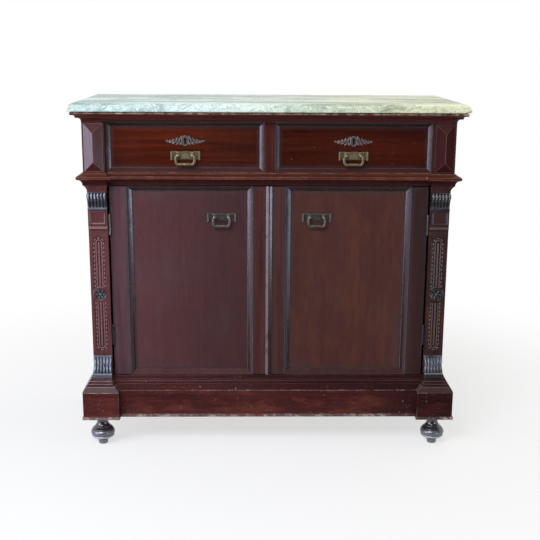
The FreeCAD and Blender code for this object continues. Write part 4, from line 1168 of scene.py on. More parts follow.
def carved_slab(bm, z0, z1, out, rule, columns, count):
    """A slab whose front stands out from the face by out plus the rule's height at each place."""
    across = np.linspace(PILASTER_X0, PILASTER_X1, columns + 1)
    rows = [[bm.verts.new((x, FACE_Y - out - rule(x, z), z)) for x in across]
            for z in np.linspace(z0, z1, count + 1)]
    close_back(bm, grid_faces(bm, rows))


def faces_since(bm, count):
    """The faces of a mesh that came after the first so many."""
    bm.faces.ensure_lookup_table()
    return bm.faces[count:]


def reeded(bm, profile, z0, depth, reeds=6, steps=10):
    """Reeds across the pilaster over a profile of (out, height) points, with painted shade between them
    and crowns that are partly rubbed and partly a painted highlight.
    """
    slope = np.gradient(profile, axis=0)
    normal = np.stack([slope[:, 1], -slope[:, 0]], 1)
    normal /= np.linalg.norm(normal, axis=1)[:, None]
    columns = reeds * steps
    rows = []
    for (out, height), (nx, nz) in zip(profile, normal):
        row = []
        for k in range(columns + 1):
            across = 2 * (k / steps % 1) - 1
            sunk = depth * (1 - math.sqrt(1 - across * across))
            x = PILASTER_X0 + (PILASTER_X1 - PILASTER_X0) * k / columns
            row.append(bm.verts.new((x, FACE_Y - out + sunk * nx, z0 + height - sunk * nz)))
        rows.append(row)
    before = len(bm.faces)
    rim = grid_faces(bm, rows)
    hollow, wear = marks(bm, "hollow"), marks(bm, "wear")
    for k, face in enumerate(faces_since(bm, before)):
        across = abs(2 * ((k % columns + 0.5) / steps % 1) - 1)
        # Painted shade between the reeds, and a pale crown, partly rubbed and partly a painted highlight.
        face[hollow] = smooth_step(across, 0.5, 1.0)
        face[wear] = 0.8 - 0.8 * smooth_step(across, 0.05, 0.5)
    close_back(bm, rim)


print("pilaster from", round(PILASTER_X0 / MM, 1), "to", round(PILASTER_X1 / MM, 1), "mm")

# %% [markdown]
# Some parts of a pilaster are plain bands, and all of it is doubled. These helpers move the faces of one
# mesh into another with all their marks, so that a part can be softened by itself first, and add the
# left-hand twin. A mirror image is inside out, so its faces are turned round.

# %% Joining and mirroring
def take_mesh(bm, mesh):
    bm.from_mesh(mesh)
    bpy.data.meshes.remove(mesh)


def join(bm, part):
    """Move the faces of one bmesh into another, with their marks."""
    mesh = bpy.data.meshes.new("joined")
    part.to_mesh(mesh)
    part.free()
    take_mesh(bm, mesh)


def soft_band(bm, out, z0, z1, width):
    """A plain band of the pilaster with softened edges."""
    part = bmesh.new()
    bmesh.ops.create_cube(part, size=1)
    for v in part.verts:
        v.co = (PILASTER_X0 if v.co.x < 0 else PILASTER_X1, FACE_Y - out if v.co.y < 0 else FACE_Y,
                z0 if v.co.z < 0 else z1)
    soften(part, width)
    join(bm, part)


def mirrored_pair(bm, left=0.5, right=0.5):
    """Add the left-hand twin of everything in a mesh; each side's board number paints it lighter or darker,
    as light.
    """
    board = marks(bm, "board")
    for face in bm.faces:
        face[board] = right
    twin = bm.copy()
    for v in twin.verts:
        v.co.x = -v.co.x
    for face in twin.faces:
        face[marks(twin, "board")] = left
    bmesh.ops.reverse_faces(twin, faces=twin.faces)
    join(bm, twin)


print("pilaster width:", round((PILASTER_X1 - PILASTER_X0) / MM, 1), "mm")

# %% [markdown]
# ## Capitals
# From the top: a hollow neck that carries the waist moulding, a scroll of six reeds that rolls forward, a
# fillet, a small block with a sunk panel, and a sill. The neck is a stack of rectangles that widens on a
# curve, the panel is carved by rule, and the reeds come from the sweep.

# %% Capital shapes
SILL_Z, BLOCK_Z, FILLET_Z, SCROLL_Z, NECK_Z, NECK_TOP = [v * MM for v in (652.6, 660.4, 708, 715, 758, 777)]
SCROLL = [(10.5, -1.2), (11, 5), (12.4, 11), (14.8, 17), (18.4, 22), (22, 26), (24.5, 30), (25, 33.5),
          (24, 37), (21.4, 40.2), (17.0, 41.8), (13.0, 42)]


def block_panel(x, z):
    """Sunk panel with a raised line round it."""
    middle = (PILASTER_X0 + PILASTER_X1) / 2
    edge = min(27.25 * MM - abs(x - middle), z - BLOCK_Z, FILLET_Z - z) / MM
    line = math.exp(-((edge - 6.4) / 1.8) ** 2) * 0.6
    return (line - 1.2 * smooth_step(edge, 7.4, 10.0)) * MM


def capital_neck(bm):
    """Rectangles that widen towards the top."""
    foot = NECK_Z + 1.6 * MM
    rings = []
    for t in np.linspace(0, 1, 11):
        spread = t ** 2.1
        x0, x1 = PILASTER_X0 - 3 * MM * spread, PILASTER_X1 + 9 * MM * spread
        y, z = FACE_Y - (9 + 7 * spread) * MM, foot + (NECK_TOP - NECK_Z - 1.6 * MM) * t
        rings.append([bm.verts.new(c) for c in ((x0, FACE_Y, z), (x0, y, z), (x1, y, z), (x1, FACE_Y, z))])
    loft(bm, rings)


bm = bmesh.new()
marks(bm, "wear")
soft_band(bm, 12 * MM, SILL_Z, BLOCK_Z, 1.6 * MM)
carved_slab(bm, BLOCK_Z, FILLET_Z, 9 * MM, block_panel, 60, 56)
soft_band(bm, 13 * MM, FILLET_Z, SCROLL_Z - 1.2 * MM, 1.6 * MM)
reeded(bm, curve_through(SCROLL, 4) * MM, SCROLL_Z, 2.6 * MM)
soft_band(bm, 14 * MM, NECK_Z - 1.0 * MM, NECK_Z + 1.6 * MM, 0.5 * MM)
capital_neck(bm)
print("capital faces:", len(bm.faces))

# %% [markdown]
# The fillet is waxed and painted with a bluish sheen, and the reeds are nearly black; the rest is carved
# wood. Under the roll of the scroll the reeds are painted darker as shade, and only the top of the roll
# keeps pale crowns, as painted highlights. The sill is pale, partly rubbed by hands and partly a painted
# highlight, and the right-hand block is painted darker, as standing in the shade.

# %% Capital finish
wear, hollow = marks(bm, "wear"), marks(bm, "hollow")
for face in bm.faces:
    height = face.calc_center_median().z
    if FILLET_Z < height < NECK_Z:
        face.material_index = 1 if height < SCROLL_Z else 2
    # Painted shade under the roll of the scroll.
    if SCROLL_Z < height < NECK_Z:
        face[hollow] = max(face[hollow], 0.8 * smooth_step(height, SCROLL_Z + 27 * MM, SCROLL_Z + 20 * MM))
    # The sill: partly rubbed, partly a painted highlight. Below the top of the roll the painted highlights
    # are dimmed.
    if height < BLOCK_Z:
        face[wear] = 0.45
    elif height < SCROLL_Z + 25 * MM or height > NECK_Z:
        face[wear] *= 0.1
mirrored_pair(bm, 0.9, 0.2)
# Painted shade: the right-hand capital below the fillet is darker and less pale.
for face in bm.faces:
    spot = face.calc_center_median()
    if spot.x > 0 and spot.z < FILLET_Z:
        face[wear] *= 0.6
        face[hollow] = max(face[hollow], 0.4)
print("faces of both capitals:", len(bm.faces))
finish_piece("carved_capitals", bm, [carved_wood, waxed_wood, reed_wood], "capitals")

# %% [markdown]
# ## Fluted shafts
# Each shaft has two sunk panels with a rosette between them. A panel's outline is a straight run closed by
# a half round, so the distance from its centre line tells where a place lies: tongue, groove, rounded
# strip, bead channel or flat margin. That single distance is all that the carving rule needs.

# %% Shaft rule
low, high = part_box("pilaster_shafts")
SHAFT_Z0, SHAFT_Z1 = low.z, high.z
SHAFT_X = (PILASTER_X0 + PILASTER_X1) / 2
ROSETTE_Z = SHAFT_Z0 + 184 * MM
UPPER_BEND, LOWER_BEND = 612.5 * MM, 309.5 * MM
SHAFT_OUT, FLUTE_DEPTH, PANEL_HALF = 6, 3.2, 18.0


def round_top(distance, middle, half, height):
    """Height of a half-round strip at a distance from the panel's centre line."""
    across = (distance - middle) / half
    return height * math.sqrt(1 - across * across) if abs(across) < 1 else 0.0


def flute(distance):
    """Carved height across a panel, in millimetres, by the distance from its centre line."""
    if distance > PANEL_HALF:
        return 0.0
    floor_height = -FLUTE_DEPTH * (1 - smooth_step(distance, 16.6, 17.8))
    strip = round_top(distance, 8.0, 2.7, FLUTE_DEPTH)
    tongue = round_top(distance, 0.0, 3.2, FLUTE_DEPTH + 0.2)
    return floor_height + max(strip, tongue)


def panel_place(x, z):
    """Distance from a panel's centre line, and how far the place is inside a panel."""
    across, up = (x - SHAFT_X) / MM, (z - ROSETTE_Z) / MM
    beyond = max(0.0, (z - UPPER_BEND) / MM, (LOWER_BEND - z) / MM)
    inside = smooth_step(math.hypot(across, up), 22.0, 23.2) if up > 0 else smooth_step(-up, 24.6, 25.8)
    return math.hypot(across, beyond), inside


def shaft_carving(x, z):
    """The panels, and a seat with a raised ring for the rosette."""
    distance, inside = panel_place(x, z)
    from_rosette = math.hypot(x - SHAFT_X, z - ROSETTE_Z) / MM
    seat = -1.2 if from_rosette < 17.4 else 0.9 * math.exp(-((from_rosette - 19.6) / 1.5) ** 2)
    return (flute(distance) * inside + seat) * MM


print("flute heights from the middle:", [round(flute(d), 1) for d in range(0, 20, 2)])

# %% [markdown]
# The beads in the channel all follow one path at an even pitch, which is exactly what Geometry Nodes do
# well: the path becomes a curve, the curve is resampled by length, and a small egg is placed on every
# point, turned along the path. The tree ends with real faces and a material, because instances would be
# lost in the export.

# %% Bead tree
def end_tree(net, result, instances, material):
    """The end of every tree: real faces in place of instances, and their material."""
    real = net.out("GeometryNodeRealizeInstances", {"Geometry": instances})
    painted = net.out("GeometryNodeSetMaterial", {"Geometry": real, "Material": material})
    net.feed(result, {"Geometry": painted})


def bead_tree(material):
    net, given, result = node_group(
        "bead_row", "Geometry",
        {"Geometry": "Geometry", "Pitch": "Float", "Length": "Float", "Width": "Float", "Height": "Float"},
        {"Geometry": "Geometry"})
    path = net.out("GeometryNodeMeshToCurve", {"Mesh": given["Geometry"]})
    points = net.out("GeometryNodeResampleCurve", {"Curve": path, "Length": given["Pitch"]}, mode="LENGTH")
    egg = net.out("GeometryNodeMeshUVSphere", {"Segments": 12, "Rings": 8, "Radius": 0.5})
    size = net.out("ShaderNodeCombineXYZ", {0: given["Width"], 1: given["Height"], 2: given["Length"]})
    tangent = net.out("GeometryNodeInputTangent")
    turn = net.out("FunctionNodeAlignRotationToVector", {"Vector": tangent}, axis="Z", pivot_axis="Y")
    row = net.out("GeometryNodeInstanceOnPoints", {
        "Points": points, "Instance": egg, "Rotation": turn, "Scale": size})
    end_tree(net, result, row, material)
    return net.tree


def nodes_mesh(name, source, tree, **values):
    """Run a Geometry Nodes tree on a mesh and give the plain mesh that it makes."""
    item = bpy.data.objects.new(name, source)
    scene.collection.objects.link(item)
    runner = item.modifiers.new(name, "NODES")
    runner.node_group = tree
    for socket in tree.interface.items_tree:
        if socket.in_out == "INPUT" and socket.name in values:
            runner[socket.identifier] = values[socket.name]
    plain = bpy.data.meshes.new_from_object(item.evaluated_get(bpy.context.evaluated_depsgraph_get()))
    bpy.data.objects.remove(item)
    bpy.data.meshes.remove(source)
    return plain


bead_row = bead_tree(carved_wood)
print("bead row inputs:", [s.name for s in bead_row.interface.items_tree if s.in_out == "INPUT"])

# %% [markdown]
# A shaft is then one carved slab and two rows of beads, one down each side of a panel and round its end.
# Deep places are darker, partly from dark wax and partly as painted shade, with a painted shadow line under
# the sill, and the high ones are paler, partly rubbed and partly a painted highlight.

# %% Shafts
BEAD_RADIUS, BEAD_OUT = 13.7 * MM, 4.4 * MM


def bead_path(bend_z, end_z, way):
    """Down one side of a panel, round its end and back, at the middle of the bead channel."""
    y = FACE_Y - BEAD_OUT
    points = [(SHAFT_X - BEAD_RADIUS, y, end_z)]
    for a in np.linspace(math.pi, 0, 25):
        points.append((SHAFT_X + BEAD_RADIUS * math.cos(a), y, bend_z + way * BEAD_RADIUS * math.sin(a)))
    points.append((SHAFT_X + BEAD_RADIUS, y, end_z))
    mesh = bpy.data.meshes.new("bead_path")
    mesh.from_pydata(points, [(k, k + 1) for k in range(len(points) - 1)], [])
    return mesh


bm = bmesh.new()
wear, hollow = marks(bm, "wear"), marks(bm, "hollow")
carved_slab(bm, SHAFT_Z0, SHAFT_Z1, SHAFT_OUT * MM, shaft_carving, 84, 400)
for bend_z, end_z, way in ((UPPER_BEND, 486 * MM, 1), (LOWER_BEND, 434 * MM, -1)):
    beads = nodes_mesh("beads", bead_path(bend_z, end_z, way), bead_row, Pitch=11.9 * MM,
                       Length=10.4 * MM, Width=5.6 * MM, Height=5.0 * MM)
    take_mesh(bm, beads)
for face in bm.faces:
    spot = face.calc_center_median()
    depth = (spot.y - FACE_Y) / MM + SHAFT_OUT
    distance, inside = panel_place(spot.x, spot.z)
    in_panel = inside > 0 and distance < PANEL_HALF
    face.material_index = 0
    # Painted shade, partly dark wax, in the deep places, and a painted shadow line under the sill.
    face[hollow] = max(0.25 * smooth_step(depth, 0.8, 3.0) if in_panel else 0.0,
                       smooth_step(spot.z, SHAFT_Z1 - 4 * MM, SHAFT_Z1 - 2 * MM))
    # Paler high places: partly rubbed, partly a painted highlight.
    face[wear] = 0.3 - 0.3 * smooth_step(depth, 0.2, 1.4) if inside > 0 and distance < 16.5 else 0.0
mirrored_pair(bm, 1.0, 0.05)
print("shaft faces:", len(bm.faces))
finish_piece("fluted_shafts", bm, [carved_wood], "pilaster_shafts")

# %% [markdown]
# ## Rosettes
# A turned black disc with petals and a pale button, partly rubbed and partly a painted highlight. The disc
# and button are turned on a lathe, here a profile spun round an axis. The same lathe turns the feet and the
# heads of the pulls later.

# %% Lathe
def turned(bm, profile, segments, place):
    """Spin (radius, height) points round an axis; place puts each point of the turning in the part."""
    rings = []
    for radius, height in profile:
        count = segments if radius > 1e-6 else 1
        angles = [k * math.tau / segments for k in range(count)]
        points = [place(radius * math.cos(a), radius * math.sin(a), height) for a in angles]
        rings.append([bm.verts.new(point) for point in points])
    faces = []
    for below, above in zip(rings, rings[1:]):
        for k in range(segments):
            j = (k + 1) % segments
            corners = [ring[m % len(ring)] for ring, m in ((below, k), (below, j), (above, j), (above, k))]
            unique = list(dict.fromkeys(corners))
            if len(unique) > 2:
                faces.append(bm.faces.new(unique))
    bmesh.ops.recalc_face_normals(bm, faces=faces)


def on_face(x, y, z):
    """A drawing with X across, Y up and Z towards the viewer, set on the front of the cabinet."""
    return Matrix(((1, 0, 0, x), (0, 0, -1, y), (0, 1, 0, z), (0, 0, 0, 1)))


print("rosette at", round(SHAFT_X / MM, 1), round(ROSETTE_Z / MM, 1), "mm")

# %% [markdown]
# The petals are one leaf, repeated round the button by Geometry Nodes. The leaf is a small grid: wide in
# the middle, pointed at its ends, domed across and hollow along its rib. The keyhole plates use the same
# leaf.

# %% Petals
def leaf_mesh(length, width, height, cup=0.35):
    """A pointed leaf along X with a hollow along its middle, closed below."""
    bm = bmesh.new()
    rows = []
    for t in np.linspace(0, 1, 9):
        half = width / 2 * math.sin(math.pi * t ** 0.75) ** 0.8 if 0 < t < 1 else 0.02 * width
        lift = height * (0.35 + 0.65 * math.sin(math.pi * min(1, t * 0.9)))
        row = []
        for s in np.linspace(-1, 1, 7):
            dome = math.sqrt(max(0, 1 - s * s)) - cup * math.exp(-(s / 0.28) ** 2)
            row.append(bm.verts.new(((t - 0.5) * length, s * half, lift * max(dome, 0.0))))
        rows.append(row)
    rim = grid_faces(bm, rows)
    bm.faces.new(rim[::-1])
    bmesh.ops.recalc_face_normals(bm, faces=bm.faces)
    mesh = bpy.data.meshes.new("leaf")
    bm.to_mesh(mesh)
    bm.free()
    return mesh


def petal_tree(material):
    net, given, result = node_group(
        "petal_ring", "Geometry", {"Geometry": "Geometry", "Petals": "Int", "Radius": "Float"},
        {"Geometry": "Geometry"})
    ring = net.out("GeometryNodeMeshCircle", {"Vertices": given["Petals"], "Radius": given["Radius"]})
    spot = net.out("GeometryNodeInputPosition")
    turn = net.out("FunctionNodeAlignRotationToVector", {"Vector": spot}, axis="X", pivot_axis="Z")
    row = net.out("GeometryNodeInstanceOnPoints", {
        "Points": ring, "Instance": given["Geometry"], "Rotation": turn})
    end_tree(net, result, row, material)
    return net.tree


petals = nodes_mesh("petals", leaf_mesh(9.4 * MM, 8.8 * MM, 3.4 * MM, 0.55), petal_tree(rosette_wood),
                    Petals=6, Radius=10.2 * MM)
print("petal faces:", len(petals.polygons))

# %% [markdown]
# Disc, button and petals go together on the seat in the shaft, and what stands out furthest is paler,
# partly rubbed and partly a painted highlight.

# %% Rosettes
seat = on_face(SHAFT_X, FACE_Y - 4.8 * MM, ROSETTE_Z)
disc = curve_through([(17, 0), (17, 1.6), (16.4, 2.9), (15.0, 2.8), (13.8, 1.2), (6.5, 0.6)], 3)
button = curve_through([(6.2, 0.6), (5.4, 2.6), (4.7, 2.3), (4.2, 3.4), (2.6, 4.9), (0, 5.3)], 4)
bm = bmesh.new()
wear = marks(bm, "wear")
turned(bm, np.vstack([[(0, 0)], disc, button]) * MM, 48, lambda x, y, z: seat @ Vector((x, y, z)))
petals.transform(seat @ Matrix.Translation((0, 0, 0.7 * MM)))
take_mesh(bm, petals)
for face in bm.faces:
    face.material_index = 0
    face[wear] = smooth_step(FACE_Y - face.calc_center_median().y, 6.6 * MM, 8.4 * MM)
mirrored_pair(bm)
print("rosette faces:", len(bm.faces))
finish_piece("carved_rosettes", bm, [rosette_wood], "rosettes")

# %% [markdown]
# ## Base scrolls
# Under each shaft the reeds come back on a smaller scroll that leans out to the plinth in one long, shallow
# curve. The same sweep makes it from another profile, with a fillet on top. The scroll is drawn in a little
# at its waist and spreads at its foot. Its reed crowns are pale in two bands, painted highlights where the
# light would catch it, partly as rubbing, and it is painted darker as shade at its foot and at its top.

# %% Base scrolls
BASE_SCROLL = [(20.5, 0), (20.9, 1.6), (20.4, 4.0), (18.8, 8.5), (17.0, 13.5), (15.4, 19), (14.0, 25),
               (12.8, 31), (11.7, 36), (10.8, 40), (10.0, 43), (9.4, 44.6), (9.0, 45)]
low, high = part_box("pilaster_bases")
bm = bmesh.new()
wear = marks(bm, "wear")
reeded(bm, curve_through(BASE_SCROLL, 4) * MM, low.z, 3.2 * MM)
hollow = marks(bm, "hollow")
for face in bm.faces:
    height = (face.calc_center_median().z - low.z) / MM
    # Painted shade at the foot and at the top of the scroll.
    face[hollow] = max(face[hollow], smooth_step(height, 9, 4), smooth_step(height, 41, 45))
    # Painted highlights: two bands of paler crowns, partly rubbing.
    lit = math.exp(-((height - 33) / 8) ** 2) + math.exp(-((height - 13) / 4) ** 2)
    face[wear] *= 0.35 + 0.9 * lit
for v in bm.verts:
    height = (v.co.z - low.z) / MM
    spread = 1.4 * math.exp(-height / 5) - 1.2 * math.exp(-(height - 22) ** 2 / 90)
    v.co.x += spread * MM * (v.co.x - SHAFT_X) / (PILASTER_X1 - SHAFT_X)
soft_band(bm, 9.0 * MM, low.z + 45 * MM, high.z, 0.9 * MM)
mirrored_pair(bm, 0.9, 0.6)
print("base scroll faces:", len(bm.faces))
finish_piece("carved_base_scrolls", bm, [reed_wood], "pilaster_bases")

# %% [markdown]
# ## Feet
# The feet are turned: a slim neck under the plinth, two thin steps, a fat bulb, a pale ring and a peg. One
# profile, spun on the lathe and set at the four places of the solids, makes all of them. Each curve of the
# profile ends at a sharp step, as a turner's chisel leaves it. The ring and the shoulder of the bulb are
# painted pale as highlights, and the peg is pale, partly from wear and partly a painted highlight.

# %% Feet
foot_profile = np.vstack([
    [(0, 0), (12.4, 0)],
    curve_through([(13.4, 1.2), (14.2, 6), (14.6, 11), (15.6, 13.2), (21, 16), (27, 20), (31, 23)], 4),
    curve_through([(32.4, 24.2), (33.4, 26), (32.8, 28), (32.0, 28.8)], 4),
    curve_through([(31.6, 29.4), (33.4, 31), (34.8, 34), (35, 37.5), (33.8, 42), (31, 46)], 5),
    curve_through([(29.4, 47.4), (29.6, 48.8), (27.8, 50.4), (25, 52.6), (22.6, 54.6), (22.2, 55.4),
                   (22, 56.6)], 3),
    curve_through([(20.4, 58.4), (18.6, 61), (17.2, 64), (16.4, 67), (16.0, 70), (16.0, 73), (16.6, 76)], 4),
    [(17.4, 77), (17.4, 90), (0, 90)],
]) * MM
FOOT_REACH, FRONT_X, REAR_X = 35.5 * MM, 492 * MM, 478 * MM
low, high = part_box("feet")
bm = bmesh.new()
wear = marks(bm, "wear")
for way, y in ((FRONT_X, low.y + FOOT_REACH), (REAR_X, high.y - FOOT_REACH)):
    for x in (way, -way):
        turned(bm, foot_profile, 56, lambda px, py, pz: (x + px, y + py, pz))
for face in bm.faces:
    height = face.calc_center_median().z / MM
    # Painted highlights on the ring and the bulb's shoulder; the peg is pale, partly worn and partly painted
    # highlight.
    face[wear] = 1.0 if 24 < height < 29 else 0.35 if height < 13 else 0.22 if 33 < height < 45 else 0.0
print("foot profile points:", len(foot_profile))
finish_piece("turned_feet", bm, [black_wood], "feet")

# %% [markdown]
# ## Keyhole plates
# Each drawer has a thin cast plate of leaves round the keyhole. Two small tools come first: a round bar
# along a path, for curls and rims, and a flat plate cut to an outline, for the ground that the leaves lie
# on.

# %% Bars and plates
def tube(bm, path, radii, sides=10):
    """A round bar along a path, with its own thickness at each point and closed ends."""
    path = [Vector(p) for p in path]
    angles = [k * math.tau / sides for k in range(sides)]
    rings = []
    aside = None
    for k, point in enumerate(path):
        way = (path[min(k + 1, len(path) - 1)] - path[max(k - 1, 0)]).normalized()
        if aside is None:
            aside = way.orthogonal().normalized()
        aside = (aside - way * aside.dot(way)).normalized()
        other = way.cross(aside)
        spokes = [(aside * math.cos(a) + other * math.sin(a)) * radii[k] for a in angles]
        rings.append([bm.verts.new(point + spoke) for spoke in spokes])
    loft(bm, rings)


def flat_plate(bm, outline, thickness, width, place=Matrix.Identity(4)):
    """A plate cut to an outline in millimetres, with softened edges."""
    part = bmesh.new()
    loft(part, [[part.verts.new((x * MM, y * MM, z * MM)) for x, y in outline] for z in (0, thickness)])
    soften(part, width * MM)
    bmesh.ops.transform(part, matrix=place, verts=part.verts)
    join(bm, part)


# %% [markdown]
# Only one half of the plate is laid out; the other is its mirror image. On the flat ground lie leaves of
# several sizes that fan out from the middle, and a small curl at the end. All of it is drawn in
# millimetres, flat on the table.

# %% Half a keyhole plate
LEAVES = [  # length, width, x and y of the root, angle
    (13, 8.0, 9, 2, 80), (19, 8.0, 20, -7, 112), (18, 7.5, 29, -6, 118), (14, 7.0, 38, -5, 126),
    (10, 5.5, 45, -4, 130), (11, 5.0, 43, -2, -3), (11, 8.5, 10, -3, -64), (13, 8.0, 17, -3, -44),
    (13, 7.0, 26, -2, -32), (12, 6.0, 35, -2, -22),
]
LEAF_HEIGHT, LEAF_LIFT = 2.4, 0.4
GROUND = [(8, -8), (15, -6.6), (25, -5.2), (35, -4.0), (45, -2.8), (54, -1.8),
          (53, 0.4), (45, 1.2), (35, 2.8), (25, 4.4), (15, 5.6), (8, 7)]


def half_plate():
    """Flat ground, leaves and end curl of the right-hand half, lying in the drawing plane."""
    half = bmesh.new()
    flat_plate(half, GROUND, 0.8, 0.3)
    for length, width, x, y, angle in LEAVES:
        leaf = leaf_mesh(length * MM, width * MM, LEAF_HEIGHT * MM)
        root = Matrix.Translation((x * MM, y * MM, LEAF_LIFT * MM))
        turn = Matrix.Rotation(math.radians(angle), 4, "Z")
        leaf.transform(root @ turn @ Matrix.Translation((length / 2 * MM, 0, 0)))
        take_mesh(half, leaf)
    turns = np.linspace(0, 1.5 * math.tau, 22)
    curl = [((50.6 + r * math.cos(a)) * MM, (r * math.sin(a) - 1.4) * MM, 0.9 * MM)
            for a, r in zip(turns, np.linspace(3.2, 0.9, 22))]
    tube(half, curl, np.linspace(1.1, 0.7, 22) * MM, 8)
    return half


print("leaves on a plate:", 2 * len(LEAVES))

# %% [markdown]
# In the middle sits an oval shield with the keyhole through it. The front is filled between two loops of
# edges, the oval and the hole, and drawn back to the plate; a plate painted dark as shade stands behind the
# hole for the inside of the lock.

# %% Keyhole shield
OVAL_HALF, OVAL_TALL = 9.2, 13.6


def keyhole_shield():
    """Oval shield round the keyhole, pierced by it, with a raised rim."""
    shield = bmesh.new()
    marks(shield, "wear")
    turns = np.linspace(0, math.tau, 32, endpoint=False)
    oval = [(OVAL_HALF * math.cos(a), OVAL_TALL * math.sin(a)) for a in turns]
    hole = [(4.4 * math.cos(a), 3.6 + 4.4 * math.sin(a)) for a in np.radians(np.linspace(-55, 235, 14))]
    hole += [(-2.7, -9.2), (2.7, -9.2)]
    loops = []
    for outline, lift in ((oval, 1.2), (hole, 1.8)):
        ring = [shield.verts.new((x * MM, y * MM, lift * MM)) for x, y in outline]
        loops += [shield.edges.new((a, b)) for a, b in zip(ring, ring[1:] + ring[:1])]
    bmesh.ops.triangle_fill(shield, use_beauty=True, use_dissolve=False, edges=loops)
    if sum(f.normal.z for f in shield.faces) < 0:
        bmesh.ops.reverse_faces(shield, faces=shield.faces)
    made = bmesh.ops.extrude_edge_only(shield, edges=[e for e in shield.edges if e.is_boundary])
    for v in made["geom"]:
        if isinstance(v, bmesh.types.BMVert):
            v.co.z = 0.05 * MM
    bmesh.ops.triangle_fill(shield, use_beauty=True, use_dissolve=False,
                            edges=[e for e in shield.edges if e.is_boundary])
    bmesh.ops.recalc_face_normals(shield, faces=shield.faces)
    rim = [(OVAL_HALF * MM * math.cos(a), OVAL_TALL * MM * math.sin(a), 1.5 * MM)
           for a in np.linspace(0, math.tau, 41)]
    tube(shield, rim, [1.5 * MM] * len(rim), 10)
    # Painted shade: the dark plate behind the keyhole.
    before = len(shield.faces)
    flat_plate(shield, [(x * 1.1, y * 1.1) for x, y in hole], 0.3, 0.05)
    for face in faces_since(shield, before):
        face.material_index = 1
    return shield


print("shield size:", 2 * OVAL_HALF, "x", 2 * OVAL_TALL, "mm")

# %% [markdown]
# Shield and both halves make the plate. What stands out is polished by hands, and what lies low is full of
# old polish.

# %% Keyhole plates
for side in ("left", "right"):
    node = f"drawer_{side}_escutcheon"
    low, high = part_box(node)
    bm = keyhole_shield()
    right = half_plate()
    left = right.copy()
    bmesh.ops.scale(left, vec=(-1, 1, 1), verts=left.verts)
    bmesh.ops.reverse_faces(left, faces=left.faces)
    join(bm, right)
    join(bm, left)
    wear, hollow = marks(bm, "wear"), marks(bm, "hollow")
    for face in bm.faces:
        height = face.calc_center_median().z
        face[wear] = smooth_step(height, 0.9 * MM, 2.4 * MM)
        face[hollow] = smooth_step(height, 1.1 * MM, 0.6 * MM)
    place = on_face((low.x + high.x) / 2, high.y, (low.z + high.z) / 2 - 1.5 * MM)
    bmesh.ops.transform(bm, matrix=place, verts=bm.verts)
    print(node, len(bm.faces), "faces")
    finish_piece(node + "_cast", bm, [metal["keyhole_metal"], metal["keyhole_dark"]], node)

# %% [markdown]
# ## Bail pulls
# A pull is three things: a stamped plate with raised ends and an arched shield, two posts with round heads,
# and a bail that hangs from them. The plate is built up in layers, each cut to its own outline and paler to
# its own degree: partly kept clean by fingers, and on the drawer shields and the post heads partly a
# painted highlight.

# %% Pull plates
HEAD = [(4.6, 1.2), (4.4, 2.2), (3.0, 3.4), (2.7, 5.4), (3.0, 7.0), (3.6, 9.4), (3.6, 12), (2.9, 14.2),
        (1.4, 15), (0, 15)]
POST_X, END_X, RIBBON_HALF = 20.5, 38.8, 37


def plate_layers(shine):
    """Outline, thickness, softening and wear of each layer: ground, ribbon, two ends and a stepped shield."""
    steps = np.linspace(-RIBBON_HALF, RIBBON_HALF, 25)
    ribbon = [(x, 11.3 + 0.6 * math.cos(x / RIBBON_HALF * 2.5 * math.pi)) for x in steps[::-1]]
    bow = np.linspace(0.0, math.pi, 21)
    yield [(-40.6, -11.3), (40.6, -11.3), (40.6, 11), (-40.6, 11)], 1.4, 0.4, 0.0
    yield [(x, y - 2.4) for x, y in ribbon[::-1]] + ribbon, 2.4, 0.5, 0.45
    for x in (-END_X, END_X):
        yield ([(x - 2.2, -12), (x + 2.2, -12), (x + 2.2, 11), (x + 1.4, 12), (x - 1.4, 12), (x - 2.2, 11)],
               4.6, 0.9, 0.8)
    yield [(14.5 * math.cos(a), -10 + 18.6 * math.sin(a) ** 0.8) for a in bow], 2.6, 0.8, 0.5 * shine
    yield [(11.0 * math.cos(a), -8.2 + 14 * math.sin(a) ** 0.8) for a in bow], 3.6, 0.9, shine


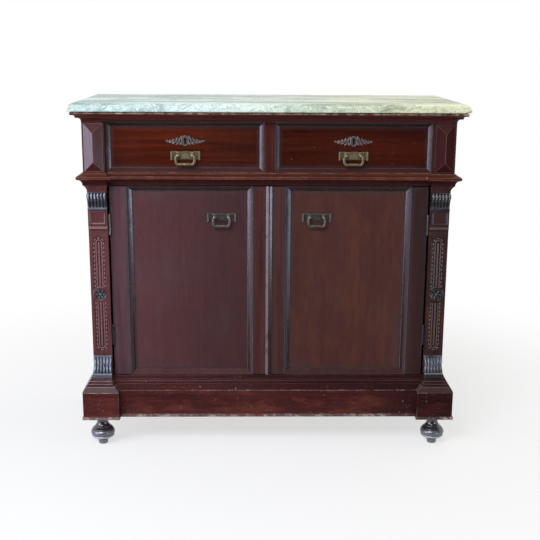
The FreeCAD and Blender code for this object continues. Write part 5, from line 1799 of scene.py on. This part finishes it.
def pull_plate(kind, side, material):
    node = f"{kind}_{side}_pull_plate"
    low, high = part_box(node)
    place = on_face((low.x + high.x) / 2, high.y, (low.z + high.z) / 2)
    bm = bmesh.new()
    wear = marks(bm, "wear")
    # The shields, paler on the drawers: partly polish, partly a painted highlight.
    for outline, thickness, width, touched in plate_layers(0.5 if kind == "drawer" else 0.12):
        before = len(bm.faces)
        flat_plate(bm, outline, thickness, width, place)
        for face in faces_since(bm, before):
            face[wear] = touched
    head = np.vstack([[(0, 0.5)], curve_through(HEAD, 3)])
    for x in (-POST_X, POST_X):
        way = math.copysign(1, x)
        swirl = [place @ (Vector((x + way * 5.2 * math.cos(a), 2 + 6.4 * math.sin(a), 1.9)) * MM)
                 for a in np.linspace(0.2 * math.pi, 1.7 * math.pi, 20)]
        before = len(bm.faces)
        tube(bm, swirl, [1.1 * MM] * len(swirl), 8)
        turned(bm, head, 20, lambda px, py, pz: place @ (Vector((x + px, 1 + py, pz)) * MM))
        # The post heads are paler the further they stand out: partly polish, partly a painted highlight.
        for face in faces_since(bm, before):
            out = high.y - face.calc_center_median().y
            face[wear] = 0.35 if out < 4 * MM else smooth_step(out, 4 * MM, 11 * MM)
    print(node, len(bm.faces), "faces")
    finish_piece(node + "_cast", bm, [material], node)


print("layers on a pull plate:", len(list(plate_layers(1.0))))

# %% [markdown]
# The bail swings on its own body, so it is a piece of its own. It is one bar along a path: half of it is
# drawn and mirrored. The bar is thin where it turns in its posts and stout below, and its lower run is
# gently waved. The doors have narrower bails than the drawers, with a thicker bar.

# %% Bails
HALF_BAIL = [(17.5, 0), (21, 0.2), (24.4, -0.4), (26.8, -3.0), (28.0, -7.5), (27.9, -13), (26.8, -18.5),
             (24.6, -22.8), (20.6, -24.8), (14, -24.7), (7, -24.2), (0, -24.8)]


def bail(kind, side, material):
    node = f"{kind}_{side}_bail"
    low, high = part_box(node)
    centre = (low + high) / 2
    narrow, stout = (0.84, 0.4) if kind == "door" else (0.94, 0.0)
    route = curve_through([(-x * narrow, z) for x, z in HALF_BAIL]
                          + [(x * narrow, z) for x, z in HALF_BAIL[-2::-1]], 4)
    path = [(centre.x + x * MM, centre.y, high.z - 2 * MM + z * MM) for x, z in route]
    radii = []
    for x, z in route:
        arm = smooth_step(-z, 0.4, 6)
        wave = smooth_step(-z, 20, 24) * math.cos(x / 20 * math.tau) ** 2
        radii.append((2.1 + (1.7 + stout) * arm + 0.3 * wave) * MM)
    bm = bmesh.new()
    wear = marks(bm, "wear")
    tube(bm, path, radii, 14)
    for face in bm.faces:
        face[wear] = 0.15
    print(node, "bar from", round(min(radii) / MM, 1), "to", round(max(radii) / MM, 1), "mm thick")
    finish_piece(node + "_cast", bm, [material], node)


for side in ("left", "right"):
    for kind, brass in (("drawer", metal["olive_brass"]), ("door", metal["dark_brass"])):
        pull_plate(kind, side, brass)
        bail(kind, side, brass)

# %% [markdown]
# ## Size
# Dressing must not change the cabinet's size; the softener keeps each softened node inside the box of its
# solid.
